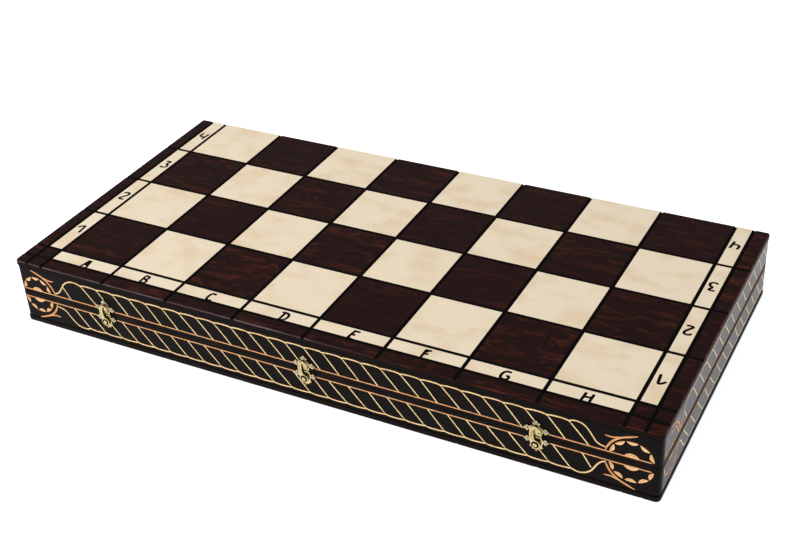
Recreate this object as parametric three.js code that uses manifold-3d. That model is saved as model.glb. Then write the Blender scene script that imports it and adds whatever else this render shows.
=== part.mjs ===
// A folding chess board that closes into a box holding its 32 men.
// Millimetres, +Z up. X runs along the box, the hook latches are at -Y and the hinges at +Y.
// The origin is the centre of the footprint, on the surface that the closed box stands on.
import * as THREE from 'three';
import { mergeVertices } from 'three/addons/utils/BufferGeometryUtils.js';
import Module from 'manifold-3d';

const wasm = await Module();
wasm.setup();

// ---- Box ----
const SQUARE = 67.5; // one square of the playing field
const FILES = 8; // squares along the box
const RANKS = 4; // squares across one half of the board
const MARGIN = 30; // from the outer squares to the edge of a panel
const HINGE_TRIM = 2; // taken off the last rank where the halves meet
const BOX_HEIGHT = 65; // both halves, closed
const PANEL = 5.3; // thickness of a playing panel
const PANEL_LIP = 0.6; // how far a panel stands proud of the walls
const PANEL_BEVEL = 1.6; // chamfer round a panel's playing face
const CORNER_R = 4.5; // upright outer corners at the latch side
const WALL = 10; // thickness of the walls
const FELT = 1; // lining glued inside each panel
const GAP = 0.3; // between pieces that touch

// ---- Butt hinges ----
const HINGE_AT = 0.5; // each hinge's place, as a share of the way from the middle to the end
const HINGE_LENGTH = 50;
const LEAF = 1; // thickness of a leaf
const LEAF_EDGE = 1; // wood left between a leaf and the inside of the wall
const KNUCKLE_R = 2.6;
const KNUCKLES = 3; // the middle one belongs to the upper leaf
const PIN_R = 0.9;
const PIN_PLAY = 0.3; // between the pin and its knuckles
const PIN_OFFSET = 0.3; // of the pin's axis behind the back faces
const PIN_HEAD = 0.5; // how far the pin shows at each end

// ---- Hook latches ----
const LATCH_WIDTH = 21;
const LATCH_HEIGHT = 30;
const LATCH_SPREAD = 203; // from one latch to the next
const LATCH_SHIFT = -0.5; // of the middle latch from the box's middle
const PLATE = 0.9; // thickness of the latch plates
const PEG_R = 1.4;
const PEG_RISE = 0.8;
const PEG_UP = 5.5; // peg above the seam
const RIVET_DOWN = 7; // rivet below the seam
const RIVET_R = 1.5;
const RIVET_PLAY = 0.4;
const RIVET_HEAD_R = 3;
const RIVET_HEAD = 0.8;
const HOOK = 1; // thickness of a hook
const HOOK_EYE_R = 4.1;
const HOOK_CURL_R = 5; // outside of the curl round the peg
const HOOK_CURL_WIDTH = 2.4;
const HOOK_TIP = 0.6; // width that the curl thins to at its tip
const CURL_START = 1.3; // half turns from +X to where the curl leaves the arm
const CURL_TIP = 0.04; // half turns from +X to the curl's tip
const TIP_R = 3; // of the nailed star tips
const TIP_WAIST = 1.5;
const UPPER_TIP_UP = 6; // upper side tips above the seam
const LOWER_TIP_DOWN = 4.5; // lower side tips below the seam

// ---- Men ----
const MAN_ROOM = 1.5; // between a man and the walls or the next man along its own length
const LID_ROOM = 7.5; // over the widest man
const COLUMN_GAP = 9; // least space between columns of men
const KING_LENGTH_SHARE = 0.87; // of half the inner depth
const KNIGHT_THICKNESS = 0.42; // of a knight's head, as a share of its base

const ROUND = 12; // sides of the small turned metal pieces
const TURNED = 10; // sides of the men
const CORNER_STEPS = 4;

// ---- Worked out ----
const PANEL_LENGTH = FILES * SQUARE + 2 * MARGIN;
const PANEL_DEPTH = RANKS * SQUARE + MARGIN - HINGE_TRIM;
const PLATE_OUT = GAP + PLATE; // outer face of a latch plate, from the front wall
const HOOK_IN = PLATE_OUT + PEG_RISE + GAP;
const HOOK_OUT = HOOK_IN + HOOK;
const RIVET_OUT = HOOK_OUT + GAP + RIVET_HEAD;
const FRONT_REACH = RIVET_OUT - PANEL_LIP; // of the latches past the panels
const BACK_REACH = PIN_OFFSET + KNUCKLE_R; // of the hinges past the panels
const PANEL_FRONT = -(PANEL_DEPTH + FRONT_REACH + BACK_REACH) / 2 + FRONT_REACH;
const BACK = PANEL_FRONT + PANEL_DEPTH;
const FRONT = PANEL_FRONT + PANEL_LIP; // outer face of the front walls
const HALF_LENGTH = PANEL_LENGTH / 2 - PANEL_LIP;
const SEAM = BOX_HEIGHT / 2;
const WALL_LOW = PANEL + GAP;
const WALL_HEIGHT = SEAM - GAP / 2 - WALL_LOW;
const PIN_Y = BACK + PIN_OFFSET;
const HINGE_X = HALF_LENGTH * HINGE_AT;
const LEAF_DEPTH = WALL - LEAF_EDGE; // from the back face into the wall

const INNER_LENGTH = 2 * (HALF_LENGTH - WALL);
const INNER_FRONT = FRONT + WALL;
const INNER_DEPTH = BACK - WALL - INNER_FRONT;
const INNER_MIDDLE = INNER_FRONT + INNER_DEPTH / 2;
const FLOOR = WALL_LOW + FELT;
const INNER_HEIGHT = BOX_HEIGHT - 2 * FLOOR;

// ---- Finishes ----
const finish = (color, roughness, metalness = 0) => () =>
  new THREE.MeshStandardMaterial({ color, roughness, metalness });
const darkWood = finish(0x1e1818, 0.45);
const fieldWood = finish(0xb9a58c, 0.5);
const felt = finish(0x23452f, 0.95);
const brass = finish(0xcdbe8c, 0.3, 1);
const steel = finish(0x8a8d90, 0.35, 1);
const paleMan = finish(0xd9b27c, 0.4);
const darkMan = finish(0x3a2118, 0.4);

// ---- Solids ----

/** A closed geometry as a manifold solid: only positions are kept, and triangles with no area are dropped. */
function toSolid(geometry) {
  const bare = geometry.clone();
  bare.deleteAttribute('normal');
  bare.deleteAttribute('uv');
  const merged = mergeVertices(bare, 1e-4);
  const source = merged.index.array;
  const kept = [];
  for (let i = 0; i < source.length; i += 3) {
    const [a, b, c] = [source[i], source[i + 1], source[i + 2]];
    if (a !== b && b !== c && c !== a) kept.push(a, b, c);
  }
  return new wasm.Manifold(new wasm.Mesh({
    numProp: 3,
    vertProperties: new Float32Array(merged.attributes.position.array),
    triVerts: new Uint32Array(kept),
  }));
}

/** A manifold solid as a geometry. */
function toGeometry(solid) {
  const mesh = solid.getMesh();
  const geometry = new THREE.BufferGeometry();
  geometry.setAttribute('position', new THREE.BufferAttribute(new Float32Array(mesh.vertProperties), 3));
  geometry.setIndex(new THREE.BufferAttribute(new Uint32Array(mesh.triVerts), 1));
  geometry.computeVertexNormals();
  return geometry;
}

/** One geometry with others joined to it and others cut from it. */
function shaped(first, { join = [], cut = [] }) {
  let solid = toSolid(first);
  for (const piece of join) solid = solid.add(toSolid(piece));
  for (const piece of cut) solid = solid.subtract(toSolid(piece));
  return toGeometry(solid);
}

/** A box given by its lowest and highest corners. */
function block(low, high) {
  const size = high.map((value, axis) => value - low[axis]);
  const middle = high.map((value, axis) => (value + low[axis]) / 2);
  return new THREE.BoxGeometry(...size).translate(...middle);
}

/** A round bar along X from x = start to x = end. */
function barX(radius, start, end, y, z) {
  return new THREE.CylinderGeometry(radius, radius, end - start, ROUND)
    .rotateZ(Math.PI / 2)
    .translate((start + end) / 2, y, z);
}

/** A round bar standing out of the front: from near to far in front of y = 0, centred on (x, z). */
function studOut(radius, near, far, x, z) {
  return new THREE.CylinderGeometry(radius, radius, far - near, ROUND).translate(x, -(near + far) / 2, z);
}

/** A flat outline in (x, z), as points or a Shape, standing out of the front from near to far. */
function plateOut(outline, near, far) {
  const shape = outline instanceof THREE.Shape
    ? outline
    : new THREE.Shape(outline.map(([x, z]) => new THREE.Vector2(x, z)));
  const settings = { depth: far - near, bevelEnabled: false, curveSegments: CORNER_STEPS };
  return new THREE.ExtrudeGeometry(shape, settings)
    .rotateX(Math.PI / 2)
    .translate(0, -near, 0);
}

/** A skin over convex rings with the same number of points, from the lowest to the highest, with flat ends. */
function loft(rings) {
  const count = rings[0].length;
  const index = [];
  for (let level = 0; level + 1 < rings.length; level += 1) {
    for (let i = 0; i < count; i += 1) {
      const a = level * count + i;
      const b = level * count + ((i + 1) % count);
      index.push(a, b, b + count, a, b + count, a + count);
    }
  }
  const top = (rings.length - 1) * count;
  for (let i = 1; i + 1 < count; i += 1) {
    index.push(0, i + 1, i);
    index.push(top, top + i, top + i + 1);
  }
  const geometry = new THREE.BufferGeometry();
  geometry.setAttribute('position', new THREE.Float32BufferAttribute(rings.flat(2), 3));
  geometry.setIndex(index);
  geometry.computeVertexNormals();
  return geometry;
}

const object = new THREE.Group();

function place(name, geometry, material, position = [0, 0, 0], rotation = [0, 0, 0]) {
  const mesh = new THREE.Mesh(geometry, material());
  mesh.name = name;
  mesh.position.set(...position);
  mesh.rotation.set(...rotation);
  object.add(mesh);
}

// ---- Trays ----

/** The plan of a board half, anticlockwise: square corners at the back, round ones at the front. */
function planOutline(inset) {
  const x = PANEL_LENGTH / 2 - inset;
  const y = PANEL_FRONT + inset;
  const r = CORNER_R - inset;
  const points = [[x, BACK], [-x, BACK]];
  for (const [middle, start] of [[-x + r, Math.PI], [x - r, 1.5 * Math.PI]]) {
    for (let step = 0; step <= CORNER_STEPS; step += 1) {
      const angle = start + (step / CORNER_STEPS) * (Math.PI / 2);
      points.push([middle + r * Math.cos(angle), y + r + r * Math.sin(angle)]);
    }
  }
  return points;
}

/** A playing panel with its playing face at z = face and its inner face at z = inside. */
function panel(face, inside) {
  const turn = Math.sign(face - inside);
  const levels = [[inside, 0], [face - turn * PANEL_BEVEL, 0], [face, PANEL_BEVEL]];
  if (turn < 0) levels.reverse();
  return loft(levels.map(([z, inset]) => planOutline(inset).map(([x, y]) => [x, y, z])));
}

/** The front wall, with its outer corners rounded, standing on z = 0. */
function frontWall() {
  const r = CORNER_R;
  const shape = new THREE.Shape();
  shape.moveTo(HALF_LENGTH, FRONT + WALL);
  shape.lineTo(-HALF_LENGTH, FRONT + WALL);
  shape.lineTo(-HALF_LENGTH, FRONT + r);
  shape.absarc(-HALF_LENGTH + r, FRONT + r, r, Math.PI, 1.5 * Math.PI, false);
  shape.lineTo(HALF_LENGTH - r, FRONT);
  shape.absarc(HALF_LENGTH - r, FRONT + r, r, 1.5 * Math.PI, 2 * Math.PI, false);
  return new THREE.ExtrudeGeometry(shape, {
    depth: WALL_HEIGHT,
    bevelEnabled: false,
    curveSegments: CORNER_STEPS,
  });
}

/** An end wall between the front and back walls, on the side given by sign. */
function endWall(sign) {
  const inner = sign * (HALF_LENGTH - WALL);
  const outer = sign * HALF_LENGTH;
  return block(
    [Math.min(inner, outer), FRONT + WALL + GAP, 0],
    [Math.max(inner, outer), BACK - WALL - GAP, WALL_HEIGHT],
  );
}

/** The back wall from z = low, cut for the hinge leaves at its edge z = seamEdge and for the knuckles. */
function backWall(low, seamEdge) {
  const body = block([-HALF_LENGTH, BACK - WALL, low], [HALF_LENGTH, BACK, low + WALL_HEIGHT]);
  const inward = Math.sign(low + WALL_HEIGHT / 2 - seamEdge);
  const floor = seamEdge + inward * (LEAF + GAP);
  const past = seamEdge - inward * LEAF;
  const half = HINGE_LENGTH / 2 + PIN_HEAD + GAP;
  const cut = [];
  for (const x of [-HINGE_X, HINGE_X]) {
    cut.push(block(
      [x - half, BACK - LEAF_DEPTH - GAP, Math.min(floor, past)],
      [x + half, BACK + WALL, Math.max(floor, past)],
    ));
    cut.push(barX(KNUCKLE_R + GAP, x - half, x + half, PIN_Y, SEAM));
  }
  return shaped(body, { cut });
}

function lining(low) {
  const edge = GAP;
  return block(
    [-INNER_LENGTH / 2 + edge, INNER_FRONT + edge, low],
    [INNER_LENGTH / 2 - edge, INNER_FRONT + INNER_DEPTH - edge, low + FELT],
  );
}

function tray(side, wallLow, face, inside, seamEdge, feltLow) {
  place(`${side}_panel`, panel(face, inside), fieldWood);
  place(`${side}_front_wall`, frontWall(), darkWood, [0, 0, wallLow]);
  place(`${side}_back_wall`, backWall(wallLow, seamEdge), darkWood);
  place(`${side}_left_wall`, endWall(-1), darkWood, [0, 0, wallLow]);
  place(`${side}_right_wall`, endWall(1), darkWood, [0, 0, wallLow]);
  place(`${side}_felt_lining`, lining(feltLow), felt);
}

tray('lower', WALL_LOW, 0, PANEL, SEAM - GAP / 2, WALL_LOW);
tray('upper', SEAM + GAP / 2, BOX_HEIGHT, BOX_HEIGHT - PANEL, SEAM + GAP / 2, BOX_HEIGHT - WALL_LOW - FELT);

// ---- Hinges ----

/** A hinge leaf about x = 0: turn is -1 for the lower leaf and 1 for the upper, with the middle knuckle. */
function hingeLeaf(turn) {
  const knuckle = HINGE_LENGTH / KNUCKLES;
  const edge = SEAM + turn * (GAP / 2);
  const far = edge + turn * LEAF;
  const plate = block(
    [-HINGE_LENGTH / 2, BACK - LEAF_DEPTH, Math.min(edge, far)],
    [HINGE_LENGTH / 2, PIN_Y, Math.max(edge, far)],
  );
  const own = [];
  const others = [];
  for (let k = 0; k < KNUCKLES; k += 1) {
    const start = -HINGE_LENGTH / 2 + k * knuckle;
    const mine = (k % 2 === 1) === (turn > 0);
    const inner = k > 0 ? GAP / 2 : 0;
    const outer = k + 1 < KNUCKLES ? GAP / 2 : 0;
    if (mine) own.push(barX(KNUCKLE_R, start + inner, start + knuckle - outer, PIN_Y, SEAM));
    else {
      const open = [k > 0 ? GAP / 2 : GAP, k + 1 < KNUCKLES ? GAP / 2 : GAP];
      others.push(barX(KNUCKLE_R + GAP, start - open[0], start + knuckle + open[1], PIN_Y, SEAM));
    }
  }
  const bore = barX(PIN_R + PIN_PLAY, -HINGE_LENGTH, HINGE_LENGTH, PIN_Y, SEAM);
  const trimmed = shaped(plate, { cut: others });
  return shaped(trimmed, { join: own, cut: [bore] });
}

for (const [side, x] of [['left', -HINGE_X], ['right', HINGE_X]]) {
  place(`${side}_hinge_lower_leaf`, hingeLeaf(-1), brass, [x, 0, 0]);
  place(`${side}_hinge_upper_leaf`, hingeLeaf(1), brass, [x, 0, 0]);
  const half = HINGE_LENGTH / 2 + PIN_HEAD;
  place(`${side}_hinge_pin`, barX(PIN_R, -half, half, PIN_Y, SEAM), steel, [x, 0, 0]);
}

// ---- Latches ----

/** Points of an outline, given as shares of half the latch's width and height. */
const latchOutline = (shares) => shares.map(([x, z]) => [(x * LATCH_WIDTH) / 2, (z * LATCH_HEIGHT) / 2]);

const UPPER_BODY = [
  [-0.55, 0.04], [0.55, 0.04], [0.46, 0.22], [0.58, 0.42], [0.37, 0.62],
  [0.14, 0.74], [-0.14, 0.74], [-0.37, 0.62], [-0.58, 0.42], [-0.46, 0.22],
];
const LOWER_BODY = [
  [0.55, -0.04], [-0.55, -0.04], [-0.46, -0.2], [-0.58, -0.4], [-0.45, -0.66],
  [-0.2, -0.82], [0, -1], [0.2, -0.82], [0.45, -0.66], [0.58, -0.4], [0.46, -0.2],
];
const TIP_IN = LATCH_WIDTH / 2 - TIP_R;

/** A four-pointed star tip centred on (x, z). */
function starTip(x, z) {
  const points = [];
  for (let i = 0; i < 8; i += 1) {
    const radius = i % 2 ? TIP_WAIST : TIP_R;
    const angle = (i * Math.PI) / 4;
    points.push([x + radius * Math.cos(angle), z + radius * Math.sin(angle)]);
  }
  return plateOut(points, GAP, PLATE_OUT);
}

const UPPER_TIPS = [[-TIP_IN, UPPER_TIP_UP], [TIP_IN, UPPER_TIP_UP], [0, LATCH_HEIGHT / 2 - TIP_R]];
const LOWER_TIPS = [[-TIP_IN, -LOWER_TIP_DOWN], [TIP_IN, -LOWER_TIP_DOWN]];

function upperPlate() {
  const tips = UPPER_TIPS.map(([x, z]) => starTip(x, z));
  const peg = studOut(PEG_R, GAP, PLATE_OUT + PEG_RISE, 0, PEG_UP);
  return shaped(plateOut(latchOutline(UPPER_BODY), GAP, PLATE_OUT), { join: [...tips, peg] });
}

function lowerPlate() {
  const tips = LOWER_TIPS.map(([x, z]) => starTip(x, z));
  const shank = studOut(RIVET_R, GAP, RIVET_OUT, 0, -RIVET_DOWN);
  const head = studOut(RIVET_HEAD_R, RIVET_OUT - RIVET_HEAD, RIVET_OUT, 0, -RIVET_DOWN);
  return shaped(plateOut(latchOutline(LOWER_BODY), GAP, PLATE_OUT), { join: [...tips, shank, head] });
}

/** The point of a circle about (0, z), at so many half turns from +X towards +Z. */
const onCircle = (z, radius, turns) => [
  radius * Math.cos(turns * Math.PI),
  z + radius * Math.sin(turns * Math.PI),
];

/** A hook: an eye on the rivet and an arm up the left side, curling over the peg to a tip on its right. */
function hook() {
  const eye = studOut(HOOK_EYE_R, HOOK_IN, HOOK_OUT, 0, -RIVET_DOWN);
  const hole = studOut(RIVET_R + RIVET_PLAY, HOOK_IN - 1, HOOK_OUT + 1, 0, -RIVET_DOWN);
  const inner = HOOK_CURL_R - HOOK_CURL_WIDTH;
  const shift = HOOK_CURL_WIDTH - HOOK_TIP;
  const curl = new THREE.Shape();
  curl.absarc(0, PEG_UP, HOOK_CURL_R, CURL_START * Math.PI, CURL_TIP * Math.PI, true);
  curl.absarc(shift, PEG_UP, inner, CURL_TIP * Math.PI, (CURL_START - CURL_TIP) * Math.PI, false);
  const arm = [
    onCircle(PEG_UP, HOOK_CURL_R, 0.95),
    onCircle(-RIVET_DOWN, HOOK_EYE_R, 0.95),
    onCircle(-RIVET_DOWN, HOOK_EYE_R, 0.35),
    onCircle(PEG_UP, inner, CURL_START),
    onCircle(PEG_UP, inner, 1.1),
  ];
  return shaped(eye, {
    join: [plateOut(arm, HOOK_IN, HOOK_OUT), plateOut(curl, HOOK_IN, HOOK_OUT)],
    cut: [hole],
  });
}

for (const [side, step] of [['left', -1], ['middle', 0], ['right', 1]]) {
  const at = [LATCH_SHIFT + step * LATCH_SPREAD, FRONT, SEAM];
  place(`${side}_latch_upper_plate`, upperPlate(), brass, at);
  place(`${side}_latch_lower_plate`, lowerPlate(), brass, at);
  place(`${side}_latch_hook`, hook(), brass, at);
}

// ---- Men ----
// A turned profile is a list of (radius as a share of the base's radius, height as a share of the length).

const FOOT = [[0, 0], [1, 0], [1, 0.06], [0.7, 0.14]];
const KINDS = {
  pawn: {
    base: 0.77,
    length: 0.5,
    profile: [...FOOT, [0.34, 0.5], [0.6, 0.58], [0.4, 0.66], [0.54, 0.84], [0, 1]],
  },
  rook: {
    base: 0.86,
    length: 0.63,
    profile: [
      ...FOOT, [0.46, 0.55], [0.68, 0.66], [0.58, 0.72], [0.68, 0.8], [0.68, 1], [0.44, 1], [0.4, 0.92],
      [0, 0.92],
    ],
  },
  knight: { base: 0.86, length: 0.72, profile: [...FOOT, [0.62, 0.3], [0.6, 0.34], [0, 0.34]] },
  bishop: {
    base: 0.86,
    length: 0.8,
    profile: [...FOOT, [0.32, 0.52], [0.6, 0.6], [0.34, 0.67], [0.48, 0.77], [0.16, 0.93], [0, 1]],
  },
  queen: {
    base: 0.95,
    length: 0.9,
    profile: [
      ...FOOT, [0.32, 0.55], [0.6, 0.65], [0.34, 0.72], [0.56, 0.9], [0.4, 0.93], [0.14, 1], [0, 1],
    ],
  },
  king: {
    base: 1,
    length: 1,
    profile: [
      ...FOOT, [0.32, 0.52], [0.6, 0.62], [0.34, 0.7], [0.54, 0.86], [0.2, 0.92], [0.1, 0.93], [0, 0.93],
    ],
  },
};
const COLUMNS = [
  'pawn', 'pawn', 'rook', 'knight', 'bishop', 'queen', 'king', 'bishop', 'knight', 'rook', 'pawn', 'pawn',
];

const widthShare = COLUMNS.reduce((sum, kind) => sum + KINDS[kind].base, 0);
const roomAcross = (INNER_LENGTH - (COLUMNS.length + 1) * COLUMN_GAP) / widthShare;
const KING_BASE = Math.min(INNER_HEIGHT - LID_ROOM, roomAcross);
const KING_LENGTH = (INNER_DEPTH / 2) * KING_LENGTH_SHARE;

/** The size of one kind of man: its base radius, its length and its profile in millimetres. */
function sizeOf(kind) {
  const { base, length, profile } = KINDS[kind];
  const radius = (base * KING_BASE) / 2;
  const height = length * KING_LENGTH;
  return { radius, height, profile: profile.map(([r, h]) => [r * radius, h * height]) };
}

/** The knight's head: neck, muzzle and ears as a flat outline in (x, z) with the base's middle at x = 0. */
const KNIGHT_HEAD = [
  [-0.56, 0.32], [0.56, 0.32], [0.42, 0.5], [0.2, 0.62], [0.66, 0.64], [0.84, 0.74],
  [0.4, 0.9], [0.12, 1], [-0.3, 0.92], [-0.66, 0.72], [-0.7, 0.5],
];
const CROSS_HALF = 0.19; // of the king's base radius
const CROSS_ARM = 0.07;
const CROSS_THICKNESS = 0.13;
const CROSS_LOW = 0.92; // of the king's length
const CROSS_BAR = 0.968;

function manGeometry(kind) {
  const { radius, height, profile } = sizeOf(kind);
  const points = profile.map(([r, h]) => new THREE.Vector2(r, h));
  const turned = new THREE.LatheGeometry(points, TURNED).rotateX(Math.PI / 2);
  if (kind === 'knight') {
    const half = KNIGHT_THICKNESS * radius;
    const head = plateOut(KNIGHT_HEAD.map(([x, z]) => [x * radius, z * height]), -half, half);
    return shaped(turned, { join: [head] });
  }
  if (kind === 'king') {
    const [wide, arm, thick] = [CROSS_HALF, CROSS_ARM, CROSS_THICKNESS].map((share) => share * radius);
    const post = block([-arm, -thick, CROSS_LOW * height], [arm, thick, height]);
    const bar = block([-wide, -thick, CROSS_BAR * height - arm], [wide, thick, CROSS_BAR * height + arm]);
    return shaped(turned, { join: [post, bar] });
  }
  return shaped(turned, {});
}

/** Points of a man's side that could touch a flat floor, as (radius, height), past the foot's wide ring. */
function sideOf(kind) {
  const { radius, height, profile } = sizeOf(kind);
  if (kind === 'knight') return KNIGHT_HEAD.map(([, z]) => [KNIGHT_THICKNESS * radius, z * height]);
  if (kind === 'king') return [...profile.slice(3), [CROSS_THICKNESS * radius, height]];
  return profile.slice(3);
}

/** A man on his side rests on his foot's rim and tips until his head touches: the angle he tips by. */
function restAngle(kind) {
  const [rim, at] = sizeOf(kind).profile[2];
  const past = sideOf(kind).filter(([, h]) => h > at);
  return Math.min(...past.map(([r, h]) => Math.atan2(rim - r, h - at)));
}

/** The lowest and highest y of a man laid with his foot towards -Y, about the middle of his foot. */
function reach(kind) {
  const { radius, height } = sizeOf(kind);
  const tip = restAngle(kind);
  return [-radius * Math.sin(tip), height * Math.cos(tip) + radius * Math.sin(tip)];
}

/** Lays a man on the lower lining at x, his foot towards the side given by turn and nearest at y = start. */
function layMan(name, kind, material, x, start, turn) {
  const { radius, profile } = sizeOf(kind);
  const tip = restAngle(kind);
  const rimHeight = profile[2][1];
  const y = start - turn * reach(kind)[0];
  const z = FLOOR + GAP + radius * Math.cos(tip) + rimHeight * Math.sin(tip);
  const rotation = [turn * (-Math.PI / 2 - tip), 0, turn > 0 ? 0 : Math.PI];
  place(name, manGeometry(kind), material, [x, y, z], rotation);
}

/** The men of one colour: officers in the middle, and two pawns end to end in the four outer columns. */
function layMen(colour, material, turn) {
  const bases = COLUMNS.map((kind) => sizeOf(kind).radius * 2);
  const gap = (INNER_LENGTH - bases.reduce((sum, base) => sum + base, 0)) / (COLUMNS.length + 1);
  const wallY = INNER_MIDDLE - (turn * INNER_DEPTH) / 2 + turn * MAN_ROOM;
  const seen = {};
  let x = -INNER_LENGTH / 2;
  COLUMNS.forEach((kind, column) => {
    x += gap + bases[column] / 2;
    const copies = kind === 'pawn' ? 2 : 1;
    let start = wallY;
    for (let copy = 0; copy < copies; copy += 1) {
      seen[kind] = (seen[kind] ?? 0) + 1;
      const only = kind === 'king' || kind === 'queen';
      const name = only ? `${colour}_${kind}` : `${colour}_${kind}_${seen[kind]}`;
      layMan(name, kind, material, x, start, turn);
      start += turn * (reach(kind)[1] - reach(kind)[0] + MAN_ROOM);
    }
    x += bases[column] / 2;
  });
}

layMen('pale', paleMan, 1);
layMen('dark', darkMan, -1);

export default object;
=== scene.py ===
"""A folding chess set: a carved, stained box that opens flat into a board, with latches, hinges and men.

Sizes are in millimetres until a mesh is made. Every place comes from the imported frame.
"""

import math

import bmesh
import bpy
import numpy as np
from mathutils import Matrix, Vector
from mathutils.geometry import delaunay_2d_cdt


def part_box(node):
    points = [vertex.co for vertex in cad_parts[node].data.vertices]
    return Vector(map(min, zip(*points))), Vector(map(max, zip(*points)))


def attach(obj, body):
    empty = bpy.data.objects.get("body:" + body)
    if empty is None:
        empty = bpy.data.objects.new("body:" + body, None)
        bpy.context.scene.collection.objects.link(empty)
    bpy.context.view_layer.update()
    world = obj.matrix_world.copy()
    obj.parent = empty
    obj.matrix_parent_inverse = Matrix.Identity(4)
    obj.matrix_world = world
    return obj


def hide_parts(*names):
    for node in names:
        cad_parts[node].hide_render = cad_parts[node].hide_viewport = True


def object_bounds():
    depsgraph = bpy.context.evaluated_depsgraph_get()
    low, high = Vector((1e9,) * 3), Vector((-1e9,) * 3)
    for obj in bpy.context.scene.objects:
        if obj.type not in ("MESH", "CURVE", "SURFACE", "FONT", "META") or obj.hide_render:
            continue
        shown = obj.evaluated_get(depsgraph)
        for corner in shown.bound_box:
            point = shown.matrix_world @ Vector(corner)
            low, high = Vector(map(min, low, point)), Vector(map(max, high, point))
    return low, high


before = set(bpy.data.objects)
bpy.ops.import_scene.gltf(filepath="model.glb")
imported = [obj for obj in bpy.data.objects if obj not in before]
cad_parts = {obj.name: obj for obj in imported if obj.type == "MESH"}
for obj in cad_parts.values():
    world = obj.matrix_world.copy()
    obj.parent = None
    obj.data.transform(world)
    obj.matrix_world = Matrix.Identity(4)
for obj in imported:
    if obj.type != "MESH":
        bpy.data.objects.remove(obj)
cad_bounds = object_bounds()

MM = 0.001
chance = np.random.default_rng(20)


def box(node):
    """The lowest and highest corners of a CAD node, in millimetres."""
    low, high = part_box(node)
    return np.array(low) / MM, np.array(high) / MM


# ---------------------------------------------------------------- meshes

JOIN = 2e-6  # metres: nearer points are one point
SHARP = math.radians(13)  # creases sharper than this are shaded as edges
METAL_SHARP = math.radians(28)
MAN_SHARP = math.radians(40)
ON_LINE = 2e-3  # points nearer than this to an outline are on it
FLUSH = 4e-3  # a sink less than this is none
CHAMFER = 0.3  # of a barrel's ends
GOUGE_STEEP, GOUGE_LEAN = 0.34, 0.32  # a half-moon's depth and the place of its bed, as shares of its width


class Shell:
    """Part of a piece: its points, its faces as rows of point numbers, and its marks on either."""

    def __init__(self, points, faces, point_marks=None, face_marks=None):
        self.points = np.asarray(points, float).reshape(-1, 3)
        self.faces = faces
        self.point_marks = point_marks or {}
        self.face_marks = face_marks or {}

    def moved(self, turn=None, shift=(0, 0, 0)):
        """The same shell turned by a 3 by 3 matrix and then moved."""
        points = self.points if turn is None else self.points @ np.asarray(turn).T
        return Shell(points + np.asarray(shift), self.faces, self.point_marks, self.face_marks)

    def marked(self, **marks):
        """The same shell with one value of each mark on all of its points."""
        filled = {name: np.full(len(self.points), value) for name, value in marks.items()}
        return Shell(self.points, self.faces, {**self.point_marks, **filled}, self.face_marks)

    def mirrored(self, axis):
        """The same shell seen in a mirror across the plane of the two other axes."""
        flip = np.ones(3)
        flip[axis] = -1
        return Shell(self.points * flip, self.faces, self.point_marks, self.face_marks)


def joined_marks(shells, side):
    """One array for each mark over all the shells, with 0 where a shell hasn't got it."""
    counts = [len(s.points) if side == "point_marks" else sum(map(len, s.faces)) for s in shells]
    held = [getattr(s, side) for s in shells]
    return {
        name: np.concatenate([np.broadcast_to(marks.get(name, 0.0), n) for marks, n in zip(held, counts)])
        for name in sorted({name for marks in held for name in marks})
    }


def make(name, shells, finish, body, stands_for=(), sharp=SHARP):
    """Joins shells into one mesh, closes its seams, turns its faces outwards and puts it on its body."""
    starts = np.cumsum([0] + [len(s.points) for s in shells])
    rows = [r for s, at in zip(shells, starts) for group in s.faces for r in (group + at).tolist()]
    mesh = bpy.data.meshes.new(name)
    mesh.from_pydata((np.concatenate([s.points for s in shells]) * MM).tolist(), [], rows)
    for domain, side in (("POINT", "point_marks"), ("FACE", "face_marks")):
        for mark, values in joined_marks(shells, side).items():
            mesh.attributes.new(mark, "FLOAT", domain).data.foreach_set("value", values.astype(np.float32))
    closed = bmesh.new()
    closed.from_mesh(mesh)
    bmesh.ops.remove_doubles(closed, verts=closed.verts, dist=JOIN)
    bmesh.ops.recalc_face_normals(closed, faces=closed.faces)
    closed.to_mesh(mesh)
    closed.free()
    mesh.shade_smooth()
    mesh.set_sharp_from_angle(angle=sharp)
    piece = bpy.data.objects.new(name, mesh)
    bpy.context.scene.collection.objects.link(piece)
    mesh.materials.append(finish)
    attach(piece, body)
    if stands_for:
        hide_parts(*stands_for)
    return piece


def grid_faces(rows, columns, wrap=False):
    """Four-cornered faces between neighbouring points of a grid; wrap joins its last column to its first."""
    across = columns if wrap else columns - 1
    i, j = np.meshgrid(np.arange(rows - 1), np.arange(across), indexing="ij")
    after = (j + 1) % columns
    corners = [i * columns + j, i * columns + after, (i + 1) * columns + after, (i + 1) * columns + j]
    return np.stack(corners, -1).reshape(-1, 4)


def turned(profile, sides):
    """A lathe's shape: point (radius cos a, radius sin a, height) for each profile point and angle a."""
    radius, height = np.asarray(profile, float).T
    a = np.arange(sides) * 2 * np.pi / sides
    points = np.stack(
        [np.outer(radius, np.cos(a)), np.outer(radius, np.sin(a)), np.outer(height, np.ones(sides))], -1
    )
    return Shell(points, [grid_faces(len(radius), sides, wrap=True)])


def tube(start, end, outer, bore):
    """A bored barrel along x from start to end: a closed ring profile turned about the x axis."""
    profile = [(bore, start), (outer - CHAMFER, start), (outer, start + CHAMFER), (outer, end - CHAMFER),
               (outer - CHAMFER, end), (bore, end), (bore, start)]
    return turned(profile, 40).moved([[0, 0, 1], [1, 0, 0], [0, 1, 0]])


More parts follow.
